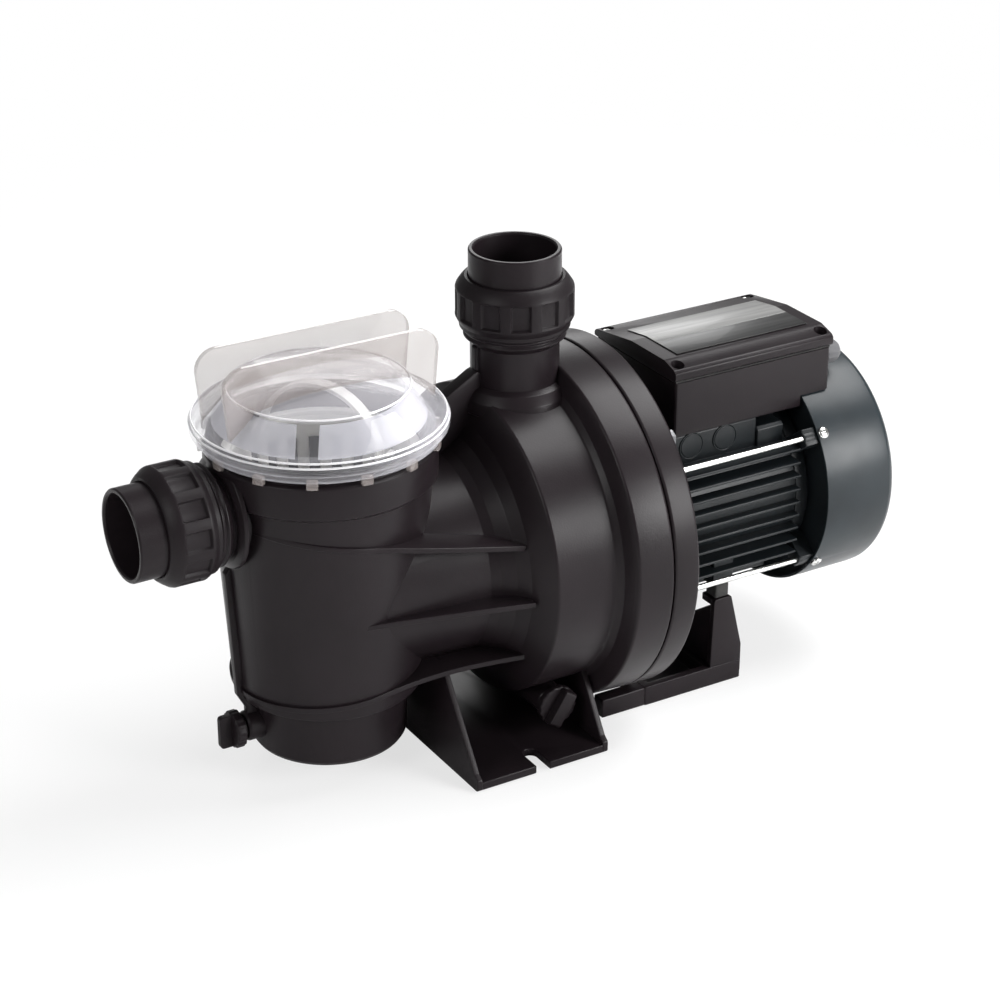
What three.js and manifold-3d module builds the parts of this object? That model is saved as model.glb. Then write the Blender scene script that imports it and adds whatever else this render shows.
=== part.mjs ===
// A self-priming swimming pool pump: strainer pot with a clear lid, moulded volute, and a finned
// motor with a terminal box. Millimetres, +Z up. X runs along the shaft from the suction side to
// the fan, and the origin is on the ground under the middle of the pump.
import * as THREE from "three";
import { mergeVertices } from "three/addons/utils/BufferGeometryUtils.js";
import Module from "manifold-3d";

const wasm = await Module();
wasm.setup();

// ---------------------------------------------------------------- driving dimensions
const GAP = 0.3; // between faces that touch
const RUN = 0.6; // between a turning piece and a fixed one
const SHAFT_Z = 129; // shaft height above the ground
const WALL = 4; // plastic wall
const FINE = 32; // facets round the big turned pieces
const MEDIUM = 24;
const COARSE = 14;
const SHAFT_FACETS = 16;
const FIT = 0.05; // round the shaft, in what it carries and in what it turns in
const RIB = 3.5; // thickness of the stiffening ribs

const POT = { x: -131, floor: 18, step: 58, sumpR: 51, lowR: 61.5, shoulder: 202, topR: 70 };
const COLLAR = { r: 74, top: 226, threadR: 71.5, rim: 234 };
const POT_BORE = { sumpR: 46, lowR: 55, topR: 62, ledge: 218, mouthR: 66 };

const NECK = { root: 64, r: 70, end: -48 }; // its root lies inside the pot's wall
const DRUM1 = { r: 105, start: -19, end: 24 };
const DRUM2 = { r: 121, start: 31.5 };
const SEAM_X = 58; // where the volute meets the seal plate
const FLANGE = { r: 122.5, end: 76.5 };
const EYE_R = 30; // passage from the pot to the impeller
const VOLUTE_BORE_X = POT.x + POT_BORE.topR + 2 * WALL; // where the volute's hollow starts

const PIPE = { outerR: 30, boreR: 25.2, socketR: 26.6 };
const UNION = { threadR: 33.4, threadLow: -7, seat: 16, flange: 6, length: 34, nutR: 38.5, tailEnd: 52 };
const SEAL = { r: 29, half: 1.6, depth: 2.4 }; // the union's seal groove
const SUCTION = { x: -216, z: 193 };
const DISCHARGE = { x: 11, z: 275 };

const LID = { r: 81.5, low: 231, high: 247, discR: 58, discZ: 264, crownZ: 270, wall: 3 };
const WING = { y: 19, length: 148, thickness: 4, top: 294, corner: 12 };
const BASKET = { topR: 58, lowR: 50, low: 72, rim: 221, wall: 1.6, handleR: 42 };
const HANDLE_TURN = THREE.MathUtils.degToRad(33); // the handle's pins, turned from the Y axis

const FOOT = { x0: -74, x1: 26, y: 96, thickness: 6, gusset: 4, slot: 10, slotDepth: 17 };
const POT_DRAIN = {
  z: 37, bossR: 10, bossEnd: 62, headR: 12.5, headLength: 15, shankR: 5, wing: 5, wingTurn: 0,
};
const VOLUTE_DRAIN = {
  x: 3, z: 29, bossR: 10, bossEnd: 63, headR: 14, headLength: 12, shankR: 5, wing: 9.2, wingTurn: 57,
};

const SHIELD = { front: 76.8, depth: 13, rear: 198.3, rearDepth: 10 };
const FRAME = { r: 61, bore: 57, finY: 67, fins: 9, pitch: 9.6, finThickness: 3 };
const ROD = { y: 63.7, z: 45.4, r: 2 };
const COVER = { front: 209, rear: 268, r: 83, wall: 1.5, round: 7, slots: 16 };
const SCREW_X = 213;
const STATOR = { x0: 108, x1: 176, boreR: 33.3 };
const SHAFT = { x0: 6, x1: 246, r: 9, bearingR: 10, coreR: 12 };
const BEARING = { r: 20, length: 11 };
const FAN = { x: 226, r: 72, length: 20, blades: 7 };

const BOX = { x0: 105, x1: 231, y: 48, low: 191, high: 229, wall: 3 };
const BOX_LID = { edge: 236.5, plateau: 242, near: -34, far: 4, hang: 1, screwX: 6, screwY: 42 };
const PLATE = { near: -32, far: 27, left: 12, right: 10, thickness: 0.5 };
const DECK = { length: 68, y: 46, root: 36 }; // the frame's top, under the terminal box
const GLAND = { y: -33, z: 219, r: 8.5 };
const REAR_FOOT = {
  x0: 80, x1: 160, y: 58, railX: 46, railY: 47, thickness: 14, postX: 136, postTop: 66, padTop: 77,
};

// ---------------------------------------------------------------- solid helpers

// A closed geometry as a solid that can be joined and cut.
function solid(geometry) {
  const bare = geometry.index ? geometry.toNonIndexed() : geometry.clone();
  bare.deleteAttribute("normal");
  bare.deleteAttribute("uv");
  const merged = mergeVertices(bare, 1e-4);
  const made = new wasm.Manifold(
    new wasm.Mesh({
      numProp: 3,
      vertProperties: merged.attributes.position.array,
      triVerts: new Uint32Array(merged.index.array),
    }),
  );
  return made;
}

// A solid as a geometry with flat-shaded faces.
function geometryOf(made) {
  const mesh = made.getMesh();
  const geometry = new THREE.BufferGeometry();
  geometry.setAttribute("position", new THREE.BufferAttribute(mesh.vertProperties, 3));
  geometry.setIndex(new THREE.BufferAttribute(mesh.triVerts, 1));
  const flat = geometry.toNonIndexed();
  flat.computeVertexNormals();
  return flat;
}

const join = (...pieces) => pieces.reduce((all, piece) => all.add(piece));
const cut = (base, ...tools) => tools.reduce((left, tool) => left.subtract(tool), base);

// A profile of [radius, height] points turned about +Z. It may run either way round.
function turned(profile, segments = MEDIUM) {
  let area = 0;
  profile.forEach(([r, h], i) => {
    const [r2, h2] = profile[(i + 1) % profile.length];
    area += r * h2 - r2 * h;
  });
  const ordered = area > 0 ? profile : [...profile].reverse();
  const closed = ordered[0][0] > 0 || ordered.at(-1)[0] > 0 ? [...ordered, ordered[0]] : ordered;
  const points = closed.map(([r, h]) => new THREE.Vector2(r, h));
  return new THREE.LatheGeometry(points, segments).rotateX(Math.PI / 2);
}

// The same, turned about +X, so that heights are places along the shaft.
function turnedX(profile, segments = MEDIUM) {
  return turned(profile, segments).rotateY(Math.PI / 2);
}

// A ring of rectangular section about +Z, or about +X.
const ring = (r0, r1, h0, h1, n) => turned([[r0, h0], [r1, h0], [r1, h1], [r0, h1]], n);
const ringX = (r0, r1, h0, h1, n) => turnedX([[r0, h0], [r1, h0], [r1, h1], [r0, h1]], n);

// A plain disc or rod about +Z, or about +X.
const rod = (r, h0, h1, n = COARSE) => turned([[0, h0], [r, h0], [r, h1], [0, h1]], n);
const rodX = (r, h0, h1, n = COARSE) => turnedX([[0, h0], [r, h0], [r, h1], [0, h1]], n);
// A rod about +Y from one y to another.
const rodY = (r, y0, y1, n = COARSE) => rod(r, y0, y1, n).rotateX(-Math.PI / 2);

// A box between two corners.
function block(x0, x1, y0, y1, z0, z1) {
  const geometry = new THREE.BoxGeometry(x1 - x0, y1 - y0, z1 - z0);
  return geometry.translate((x0 + x1) / 2, (y0 + y1) / 2, (z0 + z1) / 2);
}

// An outline of [x, y] points pulled up from z0 to z1.
function slab(outline, z0, z1) {
  const shape = new THREE.Shape(outline.map(([x, y]) => new THREE.Vector2(x, y)));
  const geometry = new THREE.ExtrudeGeometry(shape, { depth: z1 - z0, bevelEnabled: false });
  return geometry.translate(0, 0, z0);
}

// An outline of [x, z] points, from y0 to y1; and one of [y, z] points, from x0 to x1.
const slabY = (outline, y0, y1) => slab(outline, -y1, -y0).rotateX(Math.PI / 2);
const slabX = (outline, x0, x1) =>
  slab(outline.map(([y, z]) => [-z, y]), x0, x1).rotateY(Math.PI / 2);

// Points along an arc about [cx, cy], angles in degrees.
function arc(cx, cy, r, from, to, steps) {
  return Array.from({ length: steps + 1 }, (_, i) => {
    const a = THREE.MathUtils.degToRad(from + ((to - from) * i) / steps);
    return [cx + r * Math.cos(a), cy + r * Math.sin(a)];
  });
}

// An O-ring: a round section turned about +Z.
const oRing = (r, section, z) => turned(arc(r, z, section, 0, 288, 4), r > 60 ? FINE : COARSE);

// The four corners of a rectangle centred on the axis.
const corners = (a, b) => [[-a, -b], [a, -b], [a, b], [-a, b]];

// ---------------------------------------------------------------- materials

const paint = (color, roughness, metalness = 0) =>
  new THREE.MeshStandardMaterial({ color, roughness, metalness });
const blackPlastic = paint("#1f1b1f", 0.5);
const greyPlastic = paint("#3c3a3e", 0.6);
const clearPlastic = paint("#e8e2e0", 0.1);
const whitePlastic = paint("#dcdad6", 0.5);
const rubber = paint("#141414", 0.9);
const framePaint = paint("#2a3133", 0.45, 0.2);
const coverPaint = paint("#2c3638", 0.35, 0.2);
const steel = paint("#c8c8c4", 0.25, 1);
const copper = paint("#a05a2c", 0.5, 0.6);
const coreSteel = paint("#6d6f72", 0.5, 0.9);
const ceramic = paint("#e6e2d8", 0.3);
const label = paint("#b4b4b0", 0.4, 0.3);

const pump = new THREE.Group();

// Puts a piece in the scene under its own name.
function add(parent, name, shape, material) {
  const geometry = shape.isBufferGeometry ? shape : geometryOf(shape);
  const mesh = new THREE.Mesh(geometry, material);
  mesh.name = name;
  parent.add(mesh);
  return mesh;
}

// A group placed at a point, for pieces that share an axis.
function groupAt(x, y, z) {
  const group = new THREE.Group();
  group.position.set(x, y, z);
  pump.add(group);
  return group;
}

// ---------------------------------------------------------------- pump body

// The wall radius of the pot at a height between its step and its shoulder.
function potRadius(z) {
  const t = (z - POT.step) / (POT.shoulder - POT.step);
  return THREE.MathUtils.lerp(POT.lowR, POT.topR, t);
}

function potShell() {
  const outer = turned(
    [
      [0, POT.floor], [POT.sumpR - 2, POT.floor], [POT.sumpR, POT.floor + 3],
      [POT.sumpR + 1, POT.step - 3], [POT.lowR, POT.step], [POT.topR, POT.shoulder],
      [COLLAR.r, POT.shoulder + 3], [COLLAR.r, COLLAR.top], [COLLAR.threadR, COLLAR.top + 1],
      [COLLAR.threadR, COLLAR.rim], [0, COLLAR.rim],
    ],
    FINE,
  );
  return outer.translate(POT.x, 0, 0);
}

function potBore() {
  const inner = turned(
    [
      [0, POT.floor + WALL], [POT_BORE.sumpR, POT.floor + WALL], [POT_BORE.sumpR, POT.step],
      [POT_BORE.lowR, POT.step + WALL], [POT_BORE.topR, POT_BORE.ledge],
      [POT_BORE.mouthR, POT_BORE.ledge], [POT_BORE.mouthR, COLLAR.rim + 1], [0, COLLAR.rim + 1],
    ],
    MEDIUM,
  );
  return inner.translate(POT.x, 0, 0);
}

// The volute's outside, from the neck that leaves the pot to the seam.
function voluteShell() {
  const flare = [[NECK.r, NECK.end], [NECK.r + 7, NECK.end + 11], [DRUM1.r - 14, DRUM1.start - 7]];
  const profile = [
    [0, POT.x], [NECK.root, POT.x], ...flare, [DRUM1.r, DRUM1.start], [DRUM1.r, DRUM1.end],
    [DRUM1.r + 3, DRUM1.end + 3], [DRUM2.r, DRUM2.start], [DRUM2.r + 1, SEAM_X - GAP],
    [0, SEAM_X - GAP],
  ];
  return turnedX(profile, FINE).translate(0, 0, SHAFT_Z);
}

function voluteBore() {
  const start = VOLUTE_BORE_X;
  const profile = [
    [0, start], [NECK.r - 2.5 * WALL, start], [NECK.r - WALL, NECK.end + 4],
    [DRUM1.r - 2 * WALL, DRUM1.start + 5], [DRUM1.r - 2 * WALL, DRUM1.end + 5],
    [DRUM2.r - 3 * WALL, DRUM2.start + 5], [DRUM2.r - 3 * WALL, SEAM_X + 1], [0, SEAM_X + 1],
  ];
  return turnedX(profile, FINE).translate(0, 0, SHAFT_Z);
}

// A threaded spigot about +Z whose thread starts at the nut's skirt; low is where it is rooted.
function spigot(low) {
  const r = PIPE.outerR - 1;
  return turned(
    [
      [0, low], [r, low], [r, UNION.threadLow - 2], [UNION.threadR, UNION.threadLow],
      [UNION.threadR, UNION.seat], [0, UNION.seat],
    ],
    MEDIUM,
  );
}

// A stiffening rib: a level plate round the pot whose edges run straight to two tips on the flare.
function sideRib(z, slope, ringR, tipX, tipY) {
  const round = arc(0, 0, ringR, 90, 270, 20);
  const tip = tipX - POT.x;
  const band = slab([...round, [tip, -tipY], [tip, tipY]], -RIB / 2, RIB / 2);
  return band.rotateY(Math.atan(slope)).translate(POT.x, 0, z);
}

// The middle rib has no ring round the pot: only its two wings show.
function middleRib() {
  const z = SHAFT_Z - 6.5;
  const reach = potRadius(z);
  const outline = [
    [POT.x - 8, -reach + 2], [POT.x + 16, -reach - 4], [NECK.end + 20, -92],
    [NECK.end + 20, 92], [POT.x + 16, reach + 4], [POT.x - 8, reach - 2],
  ];
  return slab(outline, z - RIB / 2, z + RIB / 2);
}

// The front foot: a base plate with open slots and two gusseted side walls.
function frontFoot() {
  const { x0, x1, y, thickness, gusset, slot, slotDepth } = FOOT;
  const middle = (x0 + x1) / 2;
  const wall = (top, shoulder) => [
    [-y, 0], [-y, thickness + 3], [-shoulder, top], [shoulder, top], [y, thickness + 3], [y, 0],
  ];
  const plate = solid(block(x0, x1, -y, y, 0, thickness));
  const walls = [
    solid(slabX(wall(SHAFT_Z - 54, 48), x0, x0 + gusset)),
    solid(slabX(wall(SHAFT_Z - 70, 62), x1 - gusset, x1)),
  ];
  const slots = [-1, 1].map((side) => {
    const root = side * (y - slotDepth);
    const mouth = side * (y + 1);
    const open = block(middle - slot / 2, middle + slot / 2, Math.min(root, mouth),
      Math.max(root, mouth), -1, thickness + 1);
    return solid(open).add(solid(rod(slot / 2, -1, thickness + 1).translate(middle, root, 0)));
  });
  return cut(join(plate, ...walls), ...slots);
}

// Webs that tie the discharge spigot to the pot's collar and to the volute.
function spigotWebs() {
  const left = DISCHARGE.x - PIPE.outerR + 2;
  const right = DISCHARGE.x + PIPE.outerR - 2;
  const pot = POT.x + COLLAR.r - 4;
  const rim = POT.x + LID.r;
  const bridge = [
    [pot, 190], [pot, COLLAR.top - 5], [rim - 4, COLLAR.top], [rim + 2, LID.low + 3], [left, 252],
    [left + 8, 200],
  ];
  const post = [
    [left - 3, 226], [left - 3, DISCHARGE.z + UNION.threadLow - 2], [left + 6, 266], [left + 6, 226],
  ];
  const gusset = [
    [right, 215], [right, 256], [DRUM2.start + 12, SHAFT_Z + DRUM2.r - 12], [50, 215],
  ];
  return [
    solid(slabY(bridge, -5, 5)),
    solid(slabY(post, -3, 3)),
    solid(slabY(gusset, -2, 2)),
  ];
}

function pumpBody() {
  const potSide = POT.x - potRadius(POT_DRAIN.z + 60);
  const drainFace = POT.x - POT_DRAIN.bossEnd + 2;
  const fin = [
    [POT.x, 40], [drainFace, 40], [drainFace, POT_DRAIN.z + POT_DRAIN.headR + 1],
    [potSide - 2, POT.step + 4], [potSide - 5, 150], [potSide, 158], [POT.x, 158],
  ];
  const suctionSpigot = spigot(SUCTION.x - POT.x).rotateY(-Math.PI / 2);
  const dischargeRoot = SHAFT_Z + DRUM1.r - 20 - DISCHARGE.z;
  const foot = frontFoot();
  const outside = join(
    solid(potShell()),
    solid(voluteShell()),
    solid(suctionSpigot.translate(SUCTION.x, 0, SUCTION.z)),
    solid(spigot(dischargeRoot).translate(DISCHARGE.x, 0, DISCHARGE.z)),
    solid(ring(PIPE.outerR - 6, PIPE.outerR + 2, SHAFT_Z + 90, SHAFT_Z + DRUM1.r + 2)
      .translate(DISCHARGE.x, 0, 0)),
    solid(sideRib(SHAFT_Z + 49, 0.19, potRadius(178) + 1.6, NECK.end + 20, 82)),
    solid(sideRib(SHAFT_Z - 60, -0.07, POT.lowR + 2.2, NECK.end + 22, 75)),
    solid(middleRib()),
    solid(slabY(fin, -2.5, 2.5)),
    solid(rodX(POT_DRAIN.bossR, POT.x - POT_DRAIN.bossEnd, POT.x).translate(0, 0, POT_DRAIN.z)),
    solid(rodY(VOLUTE_DRAIN.bossR, -VOLUTE_DRAIN.bossEnd, -10)
      .translate(VOLUTE_DRAIN.x, 0, VOLUTE_DRAIN.z)),
    ...spigotWebs(),
    foot,
  );
  const suctionBore = rodX(PIPE.boreR - 1, SUCTION.x - UNION.seat - 1, POT.x);
  const dischargeBore = rod(PIPE.boreR - 1, SHAFT_Z + 60, DISCHARGE.z + UNION.seat + 1);
  const drainBore = POT_DRAIN.shankR + GAP;
  return cut(
    outside,
    solid(potBore()),
    solid(voluteBore()),
    solid(suctionBore.translate(0, 0, SUCTION.z)),
    solid(dischargeBore.translate(DISCHARGE.x, 0, 0)),
    solid(rodX(EYE_R, POT.x, NECK.end, MEDIUM).translate(0, 0, SHAFT_Z)),
    solid(rodX(drainBore, POT.x - POT_DRAIN.bossEnd - 1, POT.x).translate(0, 0, POT_DRAIN.z)),
    solid(rodY(VOLUTE_DRAIN.shankR + GAP, -VOLUTE_DRAIN.bossEnd - 1, -10)
      .translate(VOLUTE_DRAIN.x, 0, VOLUTE_DRAIN.z)),
  );
}

add(pump, "pump_body", pumpBody(), blackPlastic);

// ---------------------------------------------------------------- pipe unions

// A nut with a ring of sunk grip pads; its skirt starts at z = 0.
function unionNut() {
  const { nutR, length, threadR, seat, flange } = UNION;
  const bore = threadR + GAP;
  const lip = seat + GAP + flange + GAP;
  const neck = PIPE.outerR + GAP;
  const outer = [
    [bore, 0], [nutR - 2.5, 0], [nutR - 2.5, 3], [nutR, 8], [nutR, length - 8],
    [nutR - 4.5, length - 1.5], [nutR - 6, length], [neck, length], [neck, lip], [bore, lip],
  ];
  const pads = Array.from({ length: 12 }, (_, i) => {
    const pad = block(nutR - 1.3, nutR + 3, -6, 6, 8.5, length - 8.5);
    return solid(pad.rotateZ(THREE.MathUtils.degToRad(5 + i * 30)));
  });
  return cut(solid(turned(outer, FINE)), ...pads);
}

// The tail piece: a collar held by the nut, a groove for the seal, and a socket for the pipe.
function unionTail() {
  const { seat, flange, threadR, tailEnd } = UNION;
  const face = seat + GAP;
  const { outerR, boreR, socketR } = PIPE;
  return turned([
    [boreR, face], [SEAL.r - SEAL.half, face], [SEAL.r - SEAL.half, face + SEAL.depth],
    [SEAL.r + SEAL.half, face + SEAL.depth], [SEAL.r + SEAL.half, face], [threadR - 0.6, face],
    [threadR - 0.6, face + flange], [outerR, face + flange], [outerR, tailEnd], [socketR, tailEnd],
    [socketR, face + flange + 8], [boreR, face + flange + 6],
  ]);
}

function makeUnion(group, side) {
  add(group, `${side}_tail`, unionTail(), blackPlastic);
  add(group, `${side}_nut`, unionNut(), blackPlastic);
  add(group, `${side}_o_ring`, oRing(SEAL.r, 1, UNION.seat + GAP + 1.15), rubber);
}

const suction = groupAt(SUCTION.x, 0, SUCTION.z);
suction.rotation.y = -Math.PI / 2;
makeUnion(suction, "suction");
makeUnion(groupAt(DISCHARGE.x, 0, DISCHARGE.z), "discharge");

// ---------------------------------------------------------------- strainer

function lidShell() {
  const { r, low, high, discR, discZ, crownZ, wall } = LID;
  const inner = COLLAR.threadR + 2 * RUN;
  const inside = [
    [0, crownZ - wall], [discR * 0.6, crownZ - wall - 2], [discR - 3, discZ - wall],
    [r - 13, high - wall], [inner, COLLAR.rim + 4],
  ];
  const shell = turned(
    [
      [inner, low], [r - 4, low], [r - 4, low + 5], [r, low + 6], [r, high - 2],
      [r - 7, high + 1], [discR + 2, discZ - 3], [discR, discZ], [discR * 0.6, crownZ - 2],
      [0, crownZ], ...inside,
    ],
    FINE,
  );
  const wings = [-1, 1].map((side) => {
    const half = WING.length / 2;
    const base = high - 2;
    const outline = [
      [-half + 2, base],
      ...arc(-half + WING.corner, WING.top - WING.corner, WING.corner, 180, 90, 4),
      ...arc(half - WING.corner, WING.top - WING.corner, WING.corner, 90, 0, 4),
      [half - 2, base],
    ];
    const y = side * WING.y;
    return solid(slabY(outline, y - WING.thickness / 2, y + WING.thickness / 2));
  });
  const under = turned([...inside, [inner, low - 1], [0, low - 1]], FINE);
  const lugs = Array.from({ length: 14 }, (_, i) => {
    const lug = block(r - 8, r - 4.2, -3.5, 3.5, low - 4, low + 1);
    return solid(lug.rotateZ(THREE.MathUtils.degToRad((360 / 14) * (i + 0.3))));
  });
  return cut(join(solid(shell), ...wings, ...lugs), solid(under));
}

// The basket: a tapered cup with a rim that rests on the ledge and slots in its wall.
function basketCup() {
  const { topR, lowR, low, rim, wall } = BASKET;
  const cup = turned(
    [
      [0, low], [lowR, low], [topR, rim - 3], [topR + 5, rim - 3 + GAP], [topR + 5, rim],
      [topR - wall, rim], [lowR - wall, low + wall], [0, low + wall],
    ],
    MEDIUM,
  );
  const slots = [];
  for (let row = 0; row < 3; row++)
    for (let i = 0; i < 8; i++) {
      const z = low + 14 + row * 42;
      const slot = block(lowR - 6, topR + 4, -4, 4, z, z + 34);
      slots.push(solid(slot.rotateZ(((i + 0.5) * Math.PI) / 4)));
    }
  const inlet = rodX(PIPE.boreR + 2, -topR - 4, -lowR + 14, 28).translate(0, 0, SUCTION.z);
  const ears = [-1, 1].map((side) => {
    const ear = block(-5, 5, BASKET.handleR + 5.5, BASKET.handleR + 8.5, rim - 6, rim + 6);
    return solid(ear.rotateZ(HANDLE_TURN + (side > 0 ? 0 : Math.PI)));
  });
  const bridges = [-1, 1].map((side) => {
    const bar = block(-5, 5, BASKET.handleR + 5.5, topR - wall / 2, rim - 6, rim - 3);
    return solid(bar.rotateZ(HANDLE_TURN + (side > 0 ? 0 : Math.PI)));
  });
  return join(cut(solid(cup), ...slots, solid(inlet)), ...ears, ...bridges);
}

// A flat strap bent over in a half circle, with a foot pinned in each ear.
function basketHandle() {
  const { handleR, rim } = BASKET;
  const centre = rim + 1;
  const outer = arc(0, centre, handleR + 1.2, 0, 180, 14);
  const inner = arc(0, centre, handleR - 1.2, 180, 0, 14);
  const strap = slabX([...outer, ...inner], -4.5, 4.5);
  const feet = [-1, 1].map((side) => {
    const foot = block(-4.5, 4.5, handleR - 1.2, handleR + 1.2, centre - 4.5, centre + 1);
    const pin = rodY(1.6, handleR - 1, handleR + 5.2, 12).translate(0, 0, centre);
    const both = join(solid(foot), solid(pin));
    return side > 0 ? both : both.rotate([0, 0, 180]);
  });
  return join(solid(strap), ...feet).rotate([0, 0, THREE.MathUtils.radToDeg(HANDLE_TURN)]);
}

const strainer = groupAt(POT.x, 0, 0);
add(strainer, "strainer_lid", lidShell(), clearPlastic);
const lidSeal = { r: (COLLAR.threadR + POT_BORE.mouthR) / 2, section: 1.7 };
const lidSealZ = COLLAR.rim + GAP + lidSeal.section;
add(strainer, "lid_o_ring", oRing(lidSeal.r, lidSeal.section, lidSealZ), rubber);
add(strainer, "strainer_basket", basketCup(), whitePlastic);
add(strainer, "basket_handle", basketHandle(), whitePlastic);

// ---------------------------------------------------------------- drain plugs

// A plug about +Z with its seat at z = 0 and a wing across its head, turned to where it came tight.
function drainPlug({ headR, headLength, shankR, wing, wingTurn }) {
  const seat = 2 * GAP + 1.6;
  const shape = turned(
    [
      [0, -14], [shankR, -14], [shankR, seat], [headR, seat], [headR, seat + headLength * 0.45],
      [0, seat + headLength * 0.45],
    ],
    COARSE,
  );
  const grip = block(-headR + 1, headR - 1, -wing / 2, wing / 2, seat, seat + headLength)
    .rotateZ(THREE.MathUtils.degToRad(wingTurn));
  return solid(shape).add(solid(grip));
}

function makeDrain(group, name, sizes) {
  add(group, `${name}_plug`, drainPlug(sizes), blackPlastic);
  add(group, `${name}_o_ring`, oRing(sizes.shankR + 2.1, 0.8, 0.8 + GAP), rubber);
}

const potDrain = groupAt(POT.x - POT_DRAIN.bossEnd, 0, POT_DRAIN.z);
potDrain.rotation.y = -Math.PI / 2;
makeDrain(potDrain, "pot_drain", POT_DRAIN);
const voluteDrain = groupAt(VOLUTE_DRAIN.x, -VOLUTE_DRAIN.bossEnd, VOLUTE_DRAIN.z);
voluteDrain.rotation.x = Math.PI / 2;
makeDrain(voluteDrain, "volute_drain", VOLUTE_DRAIN);

// ---------------------------------------------------------------- wet end

const line = groupAt(0, 0, SHAFT_Z); // everything centred on the shaft

const CASING_SEAL = { r: DRUM2.r - 3 * WALL + 2.6, section: 1.4 };
const BOLT = { r: 3, circle: FLANGE.r - 8, headR: 5.5 };
const boltPlaces = [45, 135, 225, 315].map((angle) => {
  const a = THREE.MathUtils.degToRad(angle);
  return [BOLT.circle * Math.cos(a), BOLT.circle * Math.sin(a)];
});

function sealPlate() {
  const { r, end } = FLANGE;
  const hub = SHAFT.r + 6;
  const spigotR = DRUM2.r - 3 * WALL - GAP;
  const { r: sealR, section } = CASING_SEAL;
  const grooveX = SEAM_X + 2 * section + 2 * GAP;
  const plate = turnedX(
    [
      [hub, SEAM_X - 8], [hub + 10, SEAM_X - 8], [hub + 14, SEAM_X + 2],
      [spigotR - WALL, SEAM_X + 2], [spigotR - WALL, SEAM_X - 6], [spigotR, SEAM_X - 6], [spigotR, SEAM_X],
      [sealR - section - GAP, SEAM_X], [sealR - section - GAP, grooveX],
      [sealR + section + GAP, grooveX], [sealR + section + GAP, SEAM_X],
      [r, SEAM_X], [r, end], [r - 16, end], [r - 18, SEAM_X + 7], [FRAME.r + 6, SEAM_X + 7],
      [FRAME.r + 6, end], [hub, end],
    ],
    FINE,
  );
  const hole = () => rodX(BOLT.r + GAP, SEAM_X - 1, end + 1, 8);
  const holes = boltPlaces.map(([y, z]) => solid(hole().translate(0, y, z)));
  return cut(solid(plate), ...holes);
}

// Two shrouds with curved vanes between them and an inlet eye at the front.
function impeller() {
  const x0 = 12;
  const r = 72;
  const bore = SHAFT.r + GAP;
  const back = turnedX([
    [bore, x0], [16, x0], [18, x0 + 12], [r, x0 + 14], [r, x0 + 17], [bore, x0 + 17],
  ]);
  const front = turnedX([
    [23, x0 - 6], [25, x0 - 6], [26, x0 + 1], [r, x0 + 6], [r, x0 + 8.5], [23, x0 + 3.5],
  ]);
  const vanes = Array.from({ length: 6 }, (_, i) => {
    const outer = arc(-24, 20, 52, -38, 28, 4);
    const inner = arc(-24, 20, 49.5, 28, -38, 4);
    const vane = slab([...outer, ...inner], x0 + 4, x0 + 14).rotateZ((i * Math.PI) / 3);
    return solid(vane.rotateY(Math.PI / 2));
  });
  const annulus = solid(ringX(18, r - 0.5, x0 + 3, x0 + 15));
  return join(solid(back), solid(front), ...vanes.map((vane) => vane.intersect(annulus)));
}

function diffuser() {
  const snout = EYE_R - 2 * GAP;
  const start = VOLUTE_BORE_X - 1.5 * WALL;
  return turnedX(
    [
      [snout - 4, start], [snout, start], [snout, -2], [80, 10], [80, 44], [92, 46],
      [92, 49], [77, 49], [77, 13], [snout - 3, 1],
    ],
    MEDIUM,
  );
}

add(line, "seal_plate", sealPlate(), blackPlastic);
const casingSeal = oRing(CASING_SEAL.r, CASING_SEAL.section, SEAM_X + CASING_SEAL.section + GAP);
add(line, "casing_o_ring", casingSeal.rotateY(Math.PI / 2), rubber);
add(line, "diffuser", diffuser(), greyPlastic);
add(line, "impeller", impeller(), greyPlastic);
const sealBore = SHAFT.r + GAP;
const sealHead = [[sealBore, 30], [15, 30], [16, 40], [14, 47], [sealBore, 47]];
add(line, "seal_rotating_head", turnedX(sealHead, COARSE), coreSteel);
const sealSeat = ringX(SHAFT.r + RUN + 0.4, SHAFT.r + 5.6, 47.4, 57, COARSE);
add(line, "seal_stationary_seat", sealSeat, ceramic);
boltPlaces.forEach(([y, z], i) => {
  const bolt = turnedX(
    [[0, SEAM_X + 3], [BOLT.r, SEAM_X + 3], [BOLT.r, FLANGE.end + GAP], [BOLT.headR, FLANGE.end + GAP],
      [BOLT.headR, FLANGE.end + 4], [0, FLANGE.end + 4]], 6);
  add(line, `casing_bolt_${i + 1}`, bolt.translate(0, y, z), steel);
});

// ---------------------------------------------------------------- motor

// The four tie-rod places round the shaft, and a copy of a solid at each.
const quarters = [[-1, -1], [-1, 1], [1, 1], [1, -1]];
const rodPlaces = quarters.map(([y, z]) => [y * ROD.y, z * ROD.z]);
const atRods = (make) => rodPlaces.map(([y, z]) => solid(make().translate(0, y, z)));

// The lug that carries a tie rod, from the shield's rim out to the rod.
function rodLugs(x0, x1, r) {
  return rodPlaces.flatMap(([y, z]) => {
    const arm = block(x0, x1, Math.min(y, 0), Math.max(y, 0), z - r, z + r);
    return [solid(arm), solid(rodX(r, x0, x1, 12).translate(0, y, z))];
  });
}

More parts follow.
